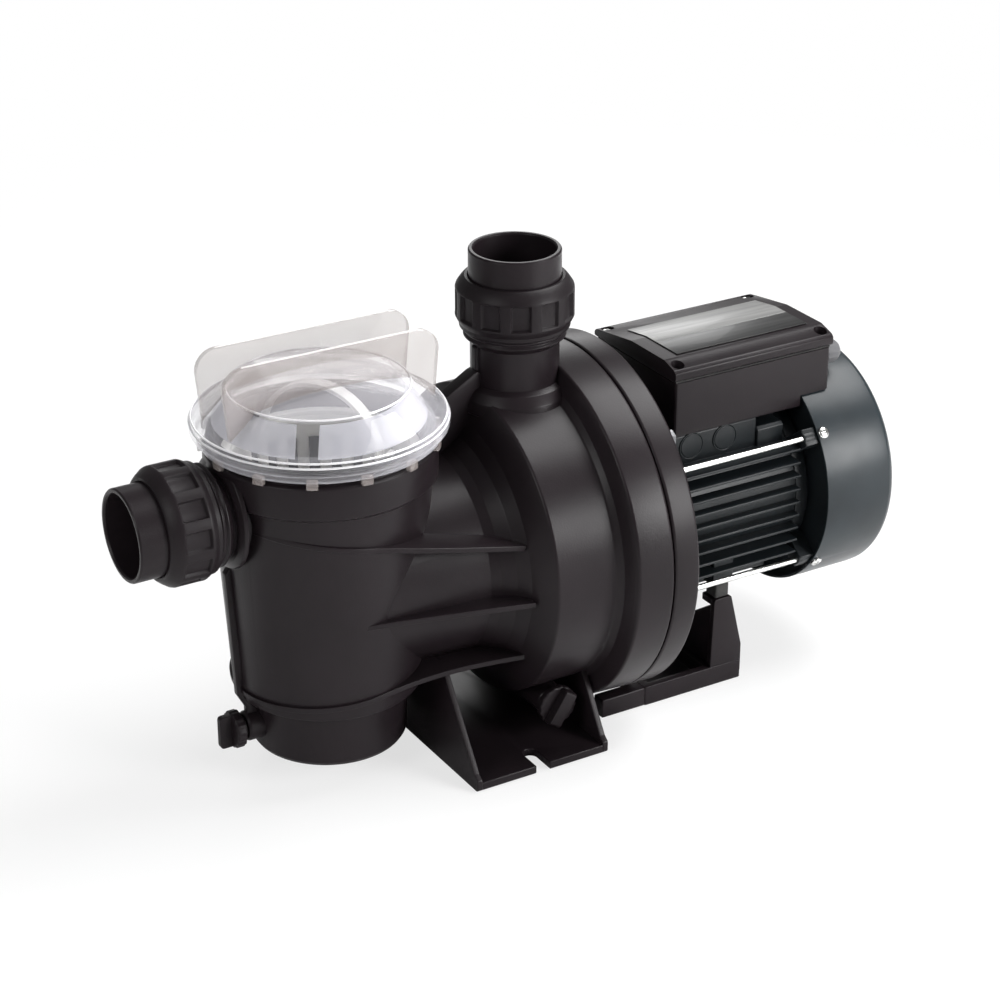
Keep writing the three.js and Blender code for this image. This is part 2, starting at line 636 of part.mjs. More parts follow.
function frontEndShield() {
  const x0 = SHIELD.front;
  const x1 = x0 + SHIELD.depth;
  const shaftHole = SHAFT.bearingR + 2;
  const disc = turnedX(
    [
      [shaftHole, x0], [FRAME.r, x0], [FRAME.r, x1], [BEARING.r + 6, x1 - 4],
      [BEARING.r + 4, x1], [BEARING.r + GAP, x1], [BEARING.r + GAP, x0 + 2], [shaftHole, x0 + 2],
    ],
    MEDIUM,
  );
  const bore = rodX(BEARING.r + GAP, x0 + 2, x1 + 1, MEDIUM);
  const lugs = rodLugs(x0 + 4, x1, 5.5);
  const holes = atRods(() => rodX(ROD.r + GAP, x0, x1 + 1, 8));
  const shaftWay = rodX(shaftHole, x0 - 1, x1);
  return cut(join(solid(disc), ...lugs), solid(bore), ...holes, solid(shaftWay));
}

// The frame: a bored barrel with level cooling fins on both sides and a deck for the terminal box.
function motorFrame() {
  const x0 = SHIELD.front + SHIELD.depth + GAP;
  const x1 = SHIELD.rear - GAP;
  const { r, bore, finY, fins, pitch, finThickness } = FRAME;
  const finPlates = Array.from({ length: fins }, (_, i) => {
    const z = (i - (fins - 1) / 2) * pitch;
    const reach = finY - 0.0016 * z * z;
    return solid(block(x0, x1, -reach, reach, z - finThickness / 2, z + finThickness / 2));
  });
  const low = Array.from({ length: 5 }, (_, i) => {
    const y = (i - 2) * 14;
    return solid(block(x0, x1, y - 1.5, y + 1.5, -FRAME.r - 3, 0));
  });
  const deckTop = BOX.low - GAP - SHAFT_Z;
  const deckEnd = BOX.x0 + DECK.length;
  const deck = block(x0, deckEnd, -DECK.y, DECK.y, DECK.root, deckTop);
  const shoulder = block(deckEnd, x1 - 4, -DECK.y - 2, DECK.y + 2, DECK.root + 2, deckTop - 8);
  const underside = REAR_FOOT.padTop - SHAFT_Z + GAP;
  const pads = [-1, 1].map((side) => {
    const inner = side * 40;
    const outer = side * REAR_FOOT.y;
    return solid(block(REAR_FOOT.postX - 2, REAR_FOOT.postX + 14, Math.min(inner, outer),
      Math.max(inner, outer), underside, -30));
  });
  const wireWay = rod(8, 0, deckTop + 1, 16).translate((BOX.x0 + BOX.x1) / 2 - 20, 0, 0);
  const rods = atRods(() => rodX(ROD.r + RUN, x0 - 1, x1 + 1, 12));
  const barrel = solid(rodX(r, x0, x1, FINE));
  const body = join(barrel, ...finPlates, ...low, solid(deck), solid(shoulder), ...pads);
  return cut(body, solid(rodX(bore, x0 - 1, x1 + 1, MEDIUM)), solid(wireWay), ...rods);
}

// The rear shield: a disc with rod lugs and four bosses that take the fan cover's screws.
const coverInner = COVER.r - COVER.wall;
const screwAngles = quarters.map(([y, z]) => Math.atan2(z * ROD.z, y * ROD.y));

function rearEndShield() {
  const x0 = SHIELD.rear;
  const x1 = x0 + SHIELD.rearDepth;
  const disc = turnedX(
    [
      [SHAFT.bearingR + 2, x1 + 5], [SHAFT.bearingR + 2, x1 + 3], [BEARING.r + GAP, x1 + 3],
      [BEARING.r + GAP, x0 + 2], [FRAME.bore, x0 + 2], [FRAME.bore, x0], [FRAME.r, x0],
      [FRAME.r, x1], [BEARING.r + 5, x1], [BEARING.r + 5, x1 + 5],
    ],
    MEDIUM,
  );
  const lug = () => rodX(5.5, x0, x1, 12);
  const lugs = rodPlaces.map(([y, z]) => solid(lug().translate(0, y * 0.97, z * 0.97)));
  const bosses = screwAngles.map((angle) => {
    const boss = block(x0, SCREW_X + 6, -6, 6, 50, coverInner - GAP);
    return solid(boss.rotateX(angle - Math.PI / 2));
  });
  const rodHoles = atRods(() => rodX(ROD.r + GAP, x0 - 1, x1 - 3, 8));
  const screwHoles = screwAngles.map((angle) => {
    const hole = rod(2 + GAP, 60, COVER.r, 8).translate(SCREW_X, 0, 0);
    return solid(hole.rotateX(angle - Math.PI / 2));
  });
  const ringZone = ringX(40, coverInner - GAP, x0 - 1, SCREW_X + 8, FINE);
  const body = join(solid(disc), ...lugs, ...bosses.map((boss) => boss.intersect(solid(ringZone))));
  return cut(body, ...rodHoles, ...screwHoles);
}

function motorShaft() {
  const { x0, x1, r, bearingR, coreR } = SHAFT;
  const step = SHIELD.front + 1;
  return turnedX(
    [
      [0, x0], [r - 2, x0], [r, x0 + 3], [r, step], [bearingR, step], [bearingR, step + 20],
      [coreR, step + 20], [coreR, SHIELD.rear - 3], [bearingR, SHIELD.rear - 3], [bearingR, x1],
      [0, x1],
    ],
    SHAFT_FACETS,
  );
}

// A winding's end turns: a fat ring beside the stator's core.
function endTurns(x0, x1) {
  const middle = (x0 + x1) / 2;
  return turnedX(
    [[36, x0], [52, x0], [54, middle], [50, x1], [38, x1], [35.5, middle]],
    COARSE,
  );
}

// A ball bearing as one body: its two races and the balls between them are drawn as one ring.
// The flats of its bore lie outside the shaft's corners, so the shaft is clear at every angle.
function bearing(x0) {
  const bore = (SHAFT.bearingR + FIT) / Math.cos(Math.PI / SHAFT_FACETS);
  return ringX(bore, BEARING.r, x0, x0 + BEARING.length, SHAFT_FACETS);
}

function coolingFan() {
  const { x, r, length, blades } = FAN;
  const bore = SHAFT.bearingR + FIT;
  const hubR = 18;
  const hub = turnedX(
    [
      [bore, x - 4], [hubR, x - 4], [hubR, x], [r - 24, x], [r - 24, x + 2.5], [hubR, x + 2.5],
      [hubR, x + length - 4], [bore, x + length - 4],
    ],
    SHAFT_FACETS,
  );
  const vanes = Array.from({ length: blades }, (_, i) => {
    const vane = block(x, x + length, -1.2, 1.2, hubR - 2, r);
    return solid(vane.rotateX((i * 2 * Math.PI) / blades));
  });
  return join(solid(hub), ...vanes);
}

// The fan cover: a drum with a rounded rear edge, a slotted end and four screw holes.
function fanCover() {
  const { front, rear, r, wall, round, slots } = COVER;
  const edge = (radius, from, to, steps) =>
    arc(rear - round, r - round - wall, radius, from, to, steps).map(([x, y]) => [y, x]);
  const outerEdge = edge(round, 90, 0, 4);
  const innerEdge = edge(round - wall, 0, 90, 3);
  const shell = turnedX(
    [[r - wall, front], [r, front], ...outerEdge, [0, rear], [0, rear - wall], ...innerEdge],
    FINE,
  );
  const openings = Array.from({ length: slots }, (_, i) => {
    const slot = block(rear - 6, rear + 1, -2.5, 2.5, 22, r - round - 8);
    return solid(slot.rotateX((i * 2 * Math.PI) / slots));
  });
  const holes = screwAngles.map((angle) => {
    const hole = rod(2 + GAP, 60, r + 1, 8).translate(SCREW_X, 0, 0);
    return solid(hole.rotateX(angle - Math.PI / 2));
  });
  return cut(solid(shell), ...openings, ...holes);
}

// A pan-head screw about +Z whose head rests on z = 0.
function screw(shankR, length, headR, headHeight) {
  return turned(
    [
      [0, -length], [shankR, -length], [shankR, GAP / 2], [headR, GAP / 2],
      [headR, headHeight * 0.6], [headR * 0.6, headHeight], [0, headHeight],
    ],
    8,
  );
}

add(line, "front_end_shield", frontEndShield(), framePaint);
add(line, "motor_frame", motorFrame(), framePaint);
add(line, "rear_end_shield", rearEndShield(), framePaint);
rodPlaces.forEach(([y, z], i) => {
  const head = SHIELD.front + 4 - GAP;
  const tieRod = turnedX(
    [
      [0, head - 3], [3.5, head - 3], [3.5, head], [ROD.r, head], [ROD.r, SHIELD.rear + 6],
      [0, SHIELD.rear + 6],
    ],
    8,
  );
  add(line, `tie_rod_${i + 1}`, tieRod.translate(0, y, z), steel);
});
add(line, "motor_shaft", motorShaft(), steel);
const { x0: coreX0, x1: coreX1, boreR: statorBore } = STATOR;
const rotor = ringX(SHAFT.coreR + FIT, statorBore - RUN, coreX0, coreX1, SHAFT_FACETS);
add(line, "rotor_core", rotor, coreSteel);
add(line, "stator_core", ringX(statorBore, FRAME.bore - GAP, coreX0, coreX1), coreSteel);
add(line, "front_winding", endTurns(STATOR.x0 - 15, STATOR.x0 - GAP), copper);
add(line, "rear_winding", endTurns(STATOR.x1 + 15, STATOR.x1 + GAP), copper);
add(line, "front_bearing", bearing(SHIELD.front + 2 + GAP), steel);
add(line, "rear_bearing", bearing(SHIELD.rear + 1.5), steel);
add(line, "cooling_fan", coolingFan(), greyPlastic);
add(line, "fan_cover", fanCover(), coverPaint);
screwAngles.forEach((angle, i) => {
  const shape = screw(2, 10, 4, 2.6).translate(0, 0, COVER.r);
  const holder = new THREE.Group();
  holder.position.x = SCREW_X;
  holder.rotation.x = angle - Math.PI / 2;
  line.add(holder);
  add(holder, `fan_cover_screw_${i + 1}`, shape, steel);
});

// ---------------------------------------------------------------- terminal box

const lidX0 = BOX.x0 - BOX_LID.hang;
const lidX1 = BOX.x1 + BOX_LID.hang;
const boxScrews = corners((lidX1 - lidX0) / 2 - BOX_LID.screwX, BOX_LID.screwY).map(([x, y]) => [
  (lidX0 + lidX1) / 2 + x,
  y,
]);
const atBoxScrews = (make) => boxScrews.map(([x, y]) => solid(make().translate(x, y, 0)));

function terminalBox() {
  const { x0, x1, y, low, high, wall } = BOX;
  const clear = COVER.r + 1.5;
  const over = COVER.front - 1.5;
  const outside = solid(block(x0, x1, -y, y, low, high));
  const coverRoom = solid(rodX(clear, over, x1 + 1, FINE).translate(0, 0, SHAFT_Z));
  const frontRoom = block(x0 + wall, over - wall, wall - y, y - wall, low + wall, high + 1);
  const rearFloor = SHAFT_Z + clear + wall;
  const rearRoom = block(over - 2 * wall, x1 - wall, wall - y, y - wall, rearFloor, high + 1);
  const hollow = cut(outside, solid(frontRoom), solid(rearRoom), coverRoom);
  const posts = atBoxScrews(() => rod(5, high - 14, high, 12));
  const holes = atBoxScrews(() => rod(2 + GAP, high - 12, high + 1, 8));
  const wire = rod(7, low - 1, low + wall + 1, 16).translate((x0 + x1) / 2 - 20, 0, 0);
  const glandHole = rodX(GLAND.r - 2.5 + GAP, x1 - 2 * wall, x1 + 1, 16);
  const glandWay = solid(glandHole.translate(0, GLAND.y, GLAND.z));
  return cut(join(hollow, ...posts), ...holes, solid(wire), glandWay);
}

const SLOPE_END = BOX.y + BOX_LID.hang - 8; // where the lid's slope meets its flat edge

// The lid: a crowned cover with a plateau, sunk corner screws and a hollow underside.
function terminalBoxLid() {
  const low = BOX.high + 1 + 2 * GAP;
  const half = BOX.y + BOX_LID.hang;
  const { edge, plateau, near, far } = BOX_LID;
  const crown = [
    [-half, low], [-half, edge], [2 - half, edge + 2], [near, plateau], [far, plateau],
    [SLOPE_END, edge], [half - 2, edge - 1], [half, edge - 3], [half, low],
  ];
  const shell = solid(slabX(crown, lidX0, lidX1));
  const room = block(lidX0 + 4, lidX1 - 4, 4 - half, half - 4, low - 1, edge - 3.5);
  const posts = atBoxScrews(() => rod(5.8, low, edge, 12)).map((post) => post.intersect(shell));
  const sunk = atBoxScrews(() => rod(4.4, low + 2.5, plateau + 1, 12));
  const holes = atBoxScrews(() => rod(2 + GAP, low - 1, plateau, 8));
  return cut(join(cut(shell, solid(room)), ...posts), ...sunk, ...holes);
}

// The rating plate: thin sheet on the plateau, bent where the slope starts.
function ratingPlate() {
  const { edge, plateau, far: bend } = BOX_LID;
  const { near, far, left, right, thickness } = PLATE;
  const fall = ((plateau - edge) * (far - bend)) / (SLOPE_END - bend);
  const z = plateau + GAP;
  const outline = [
    [near, z], [bend, z], [far, z - fall], [far, z - fall + thickness], [bend, z + thickness],
    [near, z + thickness],
  ];
  return slabX(outline, lidX0 + left, lidX1 - right);
}

// A flat ring under the lid, outside the screws.
function boxGasket() {
  const { x0, x1, y, high } = BOX;
  const z = high + GAP;
  const outside = block(x0 + 0.5, x1 - 0.5, 0.5 - y, y - 0.5, z, z + 1);
  const inside = block(x0 + 2.5, x1 - 2.5, 2.5 - y, y - 2.5, z - 1, z + 2);
  return cut(solid(outside), solid(inside));
}

function terminalBlock() {
  const base = solid(block(116, 150, -14, 14, BOX.low + BOX.wall + GAP, BOX.low + 16));
  const studs = [-1, 0, 1].flatMap((i) =>
    [-7, 7].map((y) => solid(rod(2.2, BOX.low + 12, BOX.low + 21, 8).translate(133 + i * 10, y, 0))),
  );
  return join(base, ...studs);
}

add(pump, "terminal_box", terminalBox(), blackPlastic);
add(pump, "terminal_box_gasket", boxGasket(), rubber);
add(pump, "terminal_box_lid", terminalBoxLid(), blackPlastic);
boxScrews.forEach(([x, y], i) => {
  const seat = BOX.high + 1 + 2 * GAP + 2.5 + GAP / 2;
  add(groupAt(x, y, seat), `box_lid_screw_${i + 1}`, screw(2, 12, 3.9, 2.4), steel);
});
add(pump, "rating_plate", ratingPlate(), label);
add(pump, "terminal_block", terminalBlock(), whitePlastic);
const CAPACITOR = { r: 14, x0: 156, x1: 198, y: 18 };
const capacitor = rodX(CAPACITOR.r, CAPACITOR.x0, CAPACITOR.x1);
const capacitorZ = BOX.low + BOX.wall + GAP + CAPACITOR.r;
add(pump, "run_capacitor", capacitor.translate(0, CAPACITOR.y, capacitorZ), greyPlastic);

const gland = groupAt(BOX.x1, GLAND.y, GLAND.z);
gland.rotation.y = Math.PI / 2;
add(gland, "cable_gland_body", turned(
  [
    [4, -6], [GLAND.r - 2.5, -6], [GLAND.r - 2.5, GAP], [GLAND.r + 1, GAP], [GLAND.r + 1, 4],
    [GLAND.r - 2.5, 4], [GLAND.r - 2.5, 12], [4, 12],
  ],
  12,
), greyPlastic);
add(gland, "cable_gland_nut", turned(
  [
    [GLAND.r - 2.5 + GAP, 4 + GAP], [GLAND.r, 4 + GAP], [GLAND.r, 12], [GLAND.r - 2, 15.5],
    [5, 16.5], [4, 16.5], [4, 12 + GAP], [GLAND.r - 2.5 + GAP, 12 + GAP],
  ],
  12,
), greyPlastic);

// ---------------------------------------------------------------- rear foot

// The stand under the motor: a shallow base, a cross web and two posts with sloped backs.
function rearFoot() {
  const { x0, x1, y, railX, railY, thickness, postX, postTop } = REAR_FOOT;
  const rails = [[-y, -railY], [railY, y]].map(([y0, y1]) =>
    solid(block(railX, x0 + 1, y0, y1, 0, thickness)),
  );
  const base = solid(block(x0, x1, -y, y, 0, thickness));
  const hollow = solid(block(x0 + 6, postX - 4, 6 - y, y - 6, 4, thickness + 1));
  const post = [[postX - 2, 4], [postX, postTop], [x1 - 10, postTop], [x1, postTop - 40], [x1, 4]];
  const web = [
    [6 - y, 4], [2 - y, postTop - 3], [-y * 0.4, 40], [y * 0.4, 40], [y - 2, postTop - 3], [y - 6, 4],
  ];
  return join(
    cut(base, hollow),
    ...rails,
    solid(slabY(post, -y, 5 - y)),
    solid(slabY(post, y - 5, y)),
    solid(slabX(web, postX, postX + 4)),
    solid(block(postX, x1 - 10, -y, 16 - y, postTop - 6, postTop)),
    solid(block(postX, x1 - 10, y - 16, y, postTop - 6, postTop)),
  );
}

add(pump, "rear_foot", rearFoot(), blackPlastic);
[["left", 1], ["right", -1]].forEach(([side, sign]) => {
  const { y, postX, postTop, padTop, x1 } = REAR_FOOT;
  const pad = block(postX + 1, x1 - 12, -6, 6, postTop + GAP, padTop);
  add(pump, `support_pad_${side}`, pad.translate(0, sign * (y - 7), 0), rubber);
});

export default pump;
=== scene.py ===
"""Finish of a self-priming pool pump: moulded wet end, clear strainer lid, finned motor."""

import math

import bmesh
import bpy
from bpy.props import FloatProperty, FloatVectorProperty, IntProperty, PointerProperty
from mathutils import Matrix, Vector


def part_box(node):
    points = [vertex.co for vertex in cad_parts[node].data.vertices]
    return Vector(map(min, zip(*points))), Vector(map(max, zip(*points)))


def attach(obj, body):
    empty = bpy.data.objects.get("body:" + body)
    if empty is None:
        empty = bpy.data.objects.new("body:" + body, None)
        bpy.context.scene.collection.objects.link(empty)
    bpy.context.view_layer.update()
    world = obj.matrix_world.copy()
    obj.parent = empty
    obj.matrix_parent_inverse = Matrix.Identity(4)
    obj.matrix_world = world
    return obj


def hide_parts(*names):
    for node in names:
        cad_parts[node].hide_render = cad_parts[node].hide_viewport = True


bl_info = {
    "name": "Pool Pump Finish",
    "version": (1, 0, 0),
    "blender": (4, 5, 0),
    "location": "3D View > Sidebar > Pump",
    "description": "Builds the fine surfaces of a pool pump over its CAD frame",
    "category": "Object",
}

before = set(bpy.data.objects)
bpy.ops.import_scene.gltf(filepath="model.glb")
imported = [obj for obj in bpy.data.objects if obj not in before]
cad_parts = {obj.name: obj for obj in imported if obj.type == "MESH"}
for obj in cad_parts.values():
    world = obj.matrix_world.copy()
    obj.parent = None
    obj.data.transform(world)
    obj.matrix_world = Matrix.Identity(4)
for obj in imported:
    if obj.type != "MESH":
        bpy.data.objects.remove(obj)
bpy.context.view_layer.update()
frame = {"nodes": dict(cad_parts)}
MM = 0.001


def box_of(node):
    """A CAD node's lowest and highest corners, in millimetres."""
    low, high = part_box(node)
    return Vector(low) / MM, Vector(high) / MM


def middle_of(node):
    low, high = box_of(node)
    return (low + high) / 2


# ------------------------------------------------------------------ places, in millimetres
SHAFT_Z = middle_of("motor_shaft").z
POT_X = middle_of("strainer_lid").x
SUCTION_X, SUCTION_Z = box_of("suction_nut")[1].x, middle_of("suction_nut").z
DISCHARGE_X, DISCHARGE_Z = middle_of("discharge_nut").x, box_of("discharge_nut")[0].z
SEAM_X = box_of("seal_plate")[0].x + 8
FLANGE_END = box_of("seal_plate")[1].x
COVER_FRONT, COVER_REAR = box_of("fan_cover")[0].x, box_of("fan_cover")[1].x
FRAME_FRONT, FRAME_REAR = box_of("motor_frame")[0].x, box_of("motor_frame")[1].x
LID_LOW, LID_TOP = box_of("strainer_lid")[0].z + 4, box_of("strainer_lid")[1].z
BOX_LOW, BOX_HIGH = box_of("terminal_box")[0], box_of("terminal_box")[1]

POT_FLOOR, POT_STEP, POT_SHOULDER = 18, 58, 202
SUMP_R, POT_LOW_R, POT_TOP_R, COLLAR_R = 51, 61.5, 70, 74
COLLAR_TOP, COLLAR_RIM, THREAD_R = 226, 234, 71.5
NECK_ROOT, NECK_R, NECK_END = 64, 70, -48
DRUM1_R, DRUM1_START, DRUM1_END = 105, -19, 24
DRUM2_R, DRUM2_START = 121, 31.5
FLANGE_R = 122.5
EYE_R = 30
PIPE_OUTER, PIPE_BORE, PIPE_SOCKET = 30, 25.2, 26.6
SPIGOT_R, SPIGOT_BORE, SPIGOT_SEAT = 33.4, 24.2, 16
TAIL_END = 52
NUT_R, NUT_LENGTH = 38.5, 34
LID_R, LID_RIM_TOP, DOME_R, DOME_Z, CROWN_Z = 81.5, 247, 58, 264, 270
WING_Y, WING_LENGTH, WING_THICKNESS = 19, 148, 4
BASKET_TOP_R, BASKET_LOW_R, BASKET_LOW, BASKET_RIM = 58, 50, 72, 221
HANDLE_R, HANDLE_TURN = 42, 33
FRAME_R, FRAME_BORE = 61, 57
ROD_Y, ROD_Z = 63.7, 45.4
COVER_R = 83
FOOT_Y, FOOT_FRONT, FOOT_BACK = 96, -74, 26
FOOT_SLOT_NEAR, FOOT_SLOT_FAR, FOOT_SLOT_HALF = 79, 99, 5
DRAIN_BORE = 5.3
POT_DRAIN_X, POT_DRAIN_Z = POT_X - 62, 37
VOLUTE_DRAIN_X, VOLUTE_DRAIN_Y, VOLUTE_DRAIN_Z = 3, -63, 29
RIB_HALF = 1.75
FIN_COUNT, FIN_PITCH = 9, 9.6
LID_LUGS, NUT_PANELS = 14, 12
DECK_END = BOX_LOW.x + 68
COVER_SCREW_X = 213
BOX_WALL = 3
GLAND_Y, GLAND_Z, GLAND_R = -33, 219, 8.5

# The walls' inner faces as (radius, place) points: up the pot, and along the volute.
POT_ROOM = [(46, 22), (46, POT_STEP), (55, 62), (62, 218), (66, 218)]
VOLUTE_ROOM = [(66, -44), (97, -14), (97, 29), (109, 36.5)]

# Turns that lay a piece drawn upright toward the suction side, the fan or the near side.
TO_SUCTION = Matrix.Rotation(-math.pi / 2, 4, "Y")
TO_FAN = Matrix.Rotation(math.pi / 2, 4, "Y")
TO_NEAR = Matrix.Rotation(math.pi / 2, 4, "X")


# ------------------------------------------------------------------ shapes


class Shape:
    """Corners in millimetres and the faces that join them."""

    def __init__(self, corners=(), faces=()):
        self.corners = [Vector(c) for c in corners]
        self.faces = [list(f) for f in faces]

    def __add__(self, other):
        shift = len(self.corners)
        moved = [[i + shift for i in face] for face in other.faces]
        return Shape(self.corners + other.corners, self.faces + moved)

    def placed(self, matrix):
        return Shape([matrix @ c for c in self.corners], self.faces)

    def at(self, x=0.0, y=0.0, z=0.0):
        return self.placed(Matrix.Translation((x, y, z)))

    def turned(self, degrees, axis="Z"):
        return self.placed(Matrix.Rotation(math.radians(degrees), 4, axis))


def joined(shapes):
    total = Shape()
    for shape in shapes:
        total = total + shape
    return total


def lathe(profile, count=0):
    """A profile of (radius, height) points turned about Z. Off the axis, it closes on itself."""
    count = count or bpy.context.scene.pump_sizes.facets
    corners, rows, faces = [], [], []
    for radius, height in profile:
        if radius < 1e-6:
            rows.append([len(corners)])
            corners.append((0, 0, height))
            continue
        rows.append([len(corners) + i for i in range(count)])
        for i in range(count):
            a = 2 * math.pi * i / count
            corners.append((radius * math.cos(a), radius * math.sin(a), height))
    closed = profile[0][0] > 1e-6 and profile[-1][0] > 1e-6
    pairs = list(zip(rows, rows[1:])) + ([(rows[-1], rows[0])] if closed else [])
    for a, b in pairs:
        for i in range(count):
            j = (i + 1) % count
            if len(a) == 1 and len(b) > 1:
                faces.append([a[0], b[i], b[j]])
            elif len(b) == 1 and len(a) > 1:
                faces.append([a[i], a[j], b[0]])
            elif len(a) > 1:
                faces.append([a[i], a[j], b[j], b[i]])
    return Shape(corners, faces)


def lathe_x(profile, count=0):
    """The same, turned about X, so that heights are places along the shaft."""
    return lathe(profile, count).turned(90, "Y")


def softened(outline, radius, on_axis=False, steps=3):
    """An outline of points with its corners rounded; points on a lathe's axis are kept."""
    made = []
    for i, point in enumerate(outline):
        if on_axis and point[0] < 1e-6:
            made.append(tuple(point))
            continue
        here = Vector(point)
        back = Vector(outline[i - 1]) - here
        ahead = Vector(outline[(i + 1) % len(outline)]) - here
        if min(back.length, ahead.length) < 1e-6:
            continue
        half = back.angle(ahead) / 2
        if half > math.radians(86):
            made.append(tuple(point))
            continue
        reach = min(radius / math.tan(half), 0.45 * back.length, 0.45 * ahead.length)
        start, end = here + back.normalized() * reach, here + ahead.normalized() * reach
        for k in range(steps + 1):
            t = k / steps
            p = start * (1 - t) ** 2 + here * 2 * t * (1 - t) + end * t * t
            made.append((p.x, p.y))
    return made


def turned_soft(profile, radius=1.0, count=0):
    return lathe(softened(profile, radius, on_axis=True), count)


def turned_soft_x(profile, radius=1.0, count=0):
    return lathe_x(softened(profile, radius, on_axis=True), count)


def slab(outline, low, high):
    """An outline of (x, y) points pulled up from one height to another."""
    n = len(outline)
    corners = [(x, y, low) for x, y in outline] + [(x, y, high) for x, y in outline]
    sides = [[i, (i + 1) % n, n + (i + 1) % n, n + i] for i in range(n)]
    return Shape(corners, [list(range(n))[::-1], list(range(n, 2 * n))] + sides)


def slab_y(outline, low, high):
    """An outline of (x, z) points pulled from one y to another."""
    return slab(outline, -high, -low).turned(90, "X")


def slab_x(outline, low, high):
    """An outline of (y, z) points pulled from one x to another."""
    return slab([(-z, y) for y, z in outline], low, high).turned(90, "Y")


def block(x0, x1, y0, y1, z0, z1):
    return slab([(x0, y0), (x1, y0), (x1, y1), (x0, y1)], z0, z1)


def rod(radius, low, high, count=48):
    return lathe([(0, low), (radius, low), (radius, high), (0, high)], count)


def rod_x(radius, low, high, count=48):
    return lathe_x([(0, low), (radius, low), (radius, high), (0, high)], count)


def arc(cx, cy, radius, start, end, steps):
    angles = [math.radians(start + (end - start) * i / steps) for i in range(steps + 1)]
    return [(cx + radius * math.cos(a), cy + radius * math.sin(a)) for a in angles]


def o_ring(radius, height, thick, count=0):
    """A round cord laid in a ring."""
    return lathe(arc(radius, height, thick, 0, 330, 11), count)


def skin(count, rings, closed=True):
    """The faces between rings that each have the same count of corners."""
    faces = []
    for j in range(rings if closed else rings - 1):
        low, high = j * count, (j + 1) % rings * count
        for i in range(count):
            k = (i + 1) % count
            faces.append([low + i, low + k, high + k, high + i])
    return faces


def across(side, near, far):
    """Two distances from the middle on one side, as a low and a high y."""
    return sorted((side * near, side * far))


# ------------------------------------------------------------------ pieces


def mesh_from(name, shape):
    mesh = bpy.data.meshes.new(name)
    mesh.from_pydata([c * MM for c in shape.corners], [], shape.faces)
    made = bmesh.new()
    made.from_mesh(mesh)
    bmesh.ops.remove_doubles(made, verts=made.verts, dist=1e-6)
    bmesh.ops.recalc_face_normals(made, faces=made.faces)
    made.to_mesh(mesh)
    made.free()
    return mesh


def settle(piece):
    """Applies a piece's modifiers to its mesh."""
    bpy.context.view_layer.update()
    graph = bpy.context.evaluated_depsgraph_get()
    mesh = bpy.data.meshes.new_from_object(piece.evaluated_get(graph))
    piece.modifiers.clear()
    piece.data = mesh


def carve(piece, tools):
    """Cuts each tool shape out of a piece."""
    for shape in tools:
        tool = bpy.data.objects.new("tool", mesh_from("tool", shape))
        bpy.context.scene.collection.objects.link(tool)
        cut = piece.modifiers.new("cut", "BOOLEAN")
        cut.operation, cut.object, cut.solver = "DIFFERENCE", tool, "EXACT"
        settle(piece)
        bpy.data.objects.remove(tool)


def make(name, shape, material, body, slot, replaces=(), edge=0.0, cuts=(), crease=38):
    """A named piece that rides on a body, with its edges rounded over and shaded smooth."""
    piece = bpy.data.objects.new(name, mesh_from(name, shape))
    bpy.context.scene.collection.objects.link(piece)
    carve(piece, cuts)
    if edge:
        bevel = piece.modifiers.new("edge", "BEVEL")
        bevel.width, bevel.segments = edge * MM, 3
        bevel.limit_method, bevel.angle_limit = "ANGLE", math.radians(30)
        settle(piece)
    piece.data.materials.clear()
    piece.data.materials.append(material)
    piece.data.shade_smooth()
    piece.data.set_sharp_from_angle(angle=math.radians(crease))
    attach(piece, body)
    if replaces:
        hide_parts(*replaces)
    return piece


def dress(material, *nodes):
    """Gives CAD nodes that keep their own shape a better material."""
    for name in nodes:
        mesh = frame["nodes"][name].data
        mesh.materials.clear()
        mesh.materials.append(material)


# ------------------------------------------------------------------ finishes


class Finish:
    """A principled material and the nodes that vary it."""

    def __init__(self, name, **constants):
        self.material = bpy.data.materials.new(name)
        self.material.use_nodes = True
        self.tree = self.material.node_tree
        self.shader = self.tree.nodes["Principled BSDF"]
        for socket, value in constants.items():
            self.shader.inputs[socket.replace("_", " ")].default_value = value
        self.place = self.tree.nodes.new("ShaderNodeTexCoord").outputs["Object"]

    def node(self, kind, inputs=(), **settings):
        made = self.tree.nodes.new(kind)
        for key, value in settings.items():
            setattr(made, key, value)
        for socket, value in dict(inputs).items():
            if isinstance(value, bpy.types.NodeSocket):
                self.tree.links.new(value, made.inputs[socket])
            else:
                made.inputs[socket].default_value = value
        return made

    def noise(self, scale, detail=3.0, stretch=(1, 1, 1)):
        place = self.node("ShaderNodeMapping", {"Vector": self.place, "Scale": stretch})
        wanted = {"Vector": place.outputs[0], "Scale": scale, "Detail": detail}
        return self.node("ShaderNodeTexNoise", wanted).outputs["Fac"]

    def tones(self, source, dark, light, low=0.35, high=0.65):
        ramp = self.node("ShaderNodeValToRGB", {"Fac": source})
        ramp.color_ramp.elements[0].position, ramp.color_ramp.elements[0].color = low, (*dark, 1)
        ramp.color_ramp.elements[1].position, ramp.color_ramp.elements[1].color = high, (*light, 1)
        self.tree.links.new(ramp.outputs["Color"], self.shader.inputs["Base Color"])

    def gloss(self, source, low, high):
        wanted = {"Value": source, "To Min": low, "To Max": high}
        spread = self.node("ShaderNodeMapRange", wanted)
        self.tree.links.new(spread.outputs[0], self.shader.inputs["Roughness"])

    def relief(self, source, depth, strength=1.0, below=None):
        wanted = {"Height": source, "Distance": depth * MM, "Strength": strength}
        if below:
            wanted["Normal"] = below
        bump = self.node("ShaderNodeBump", wanted)
        self.tree.links.new(bump.outputs[0], self.shader.inputs["Normal"])
        return bump.outputs[0]


def shade(colour, factor):
    return tuple(min(1.0, c * factor) for c in colour)


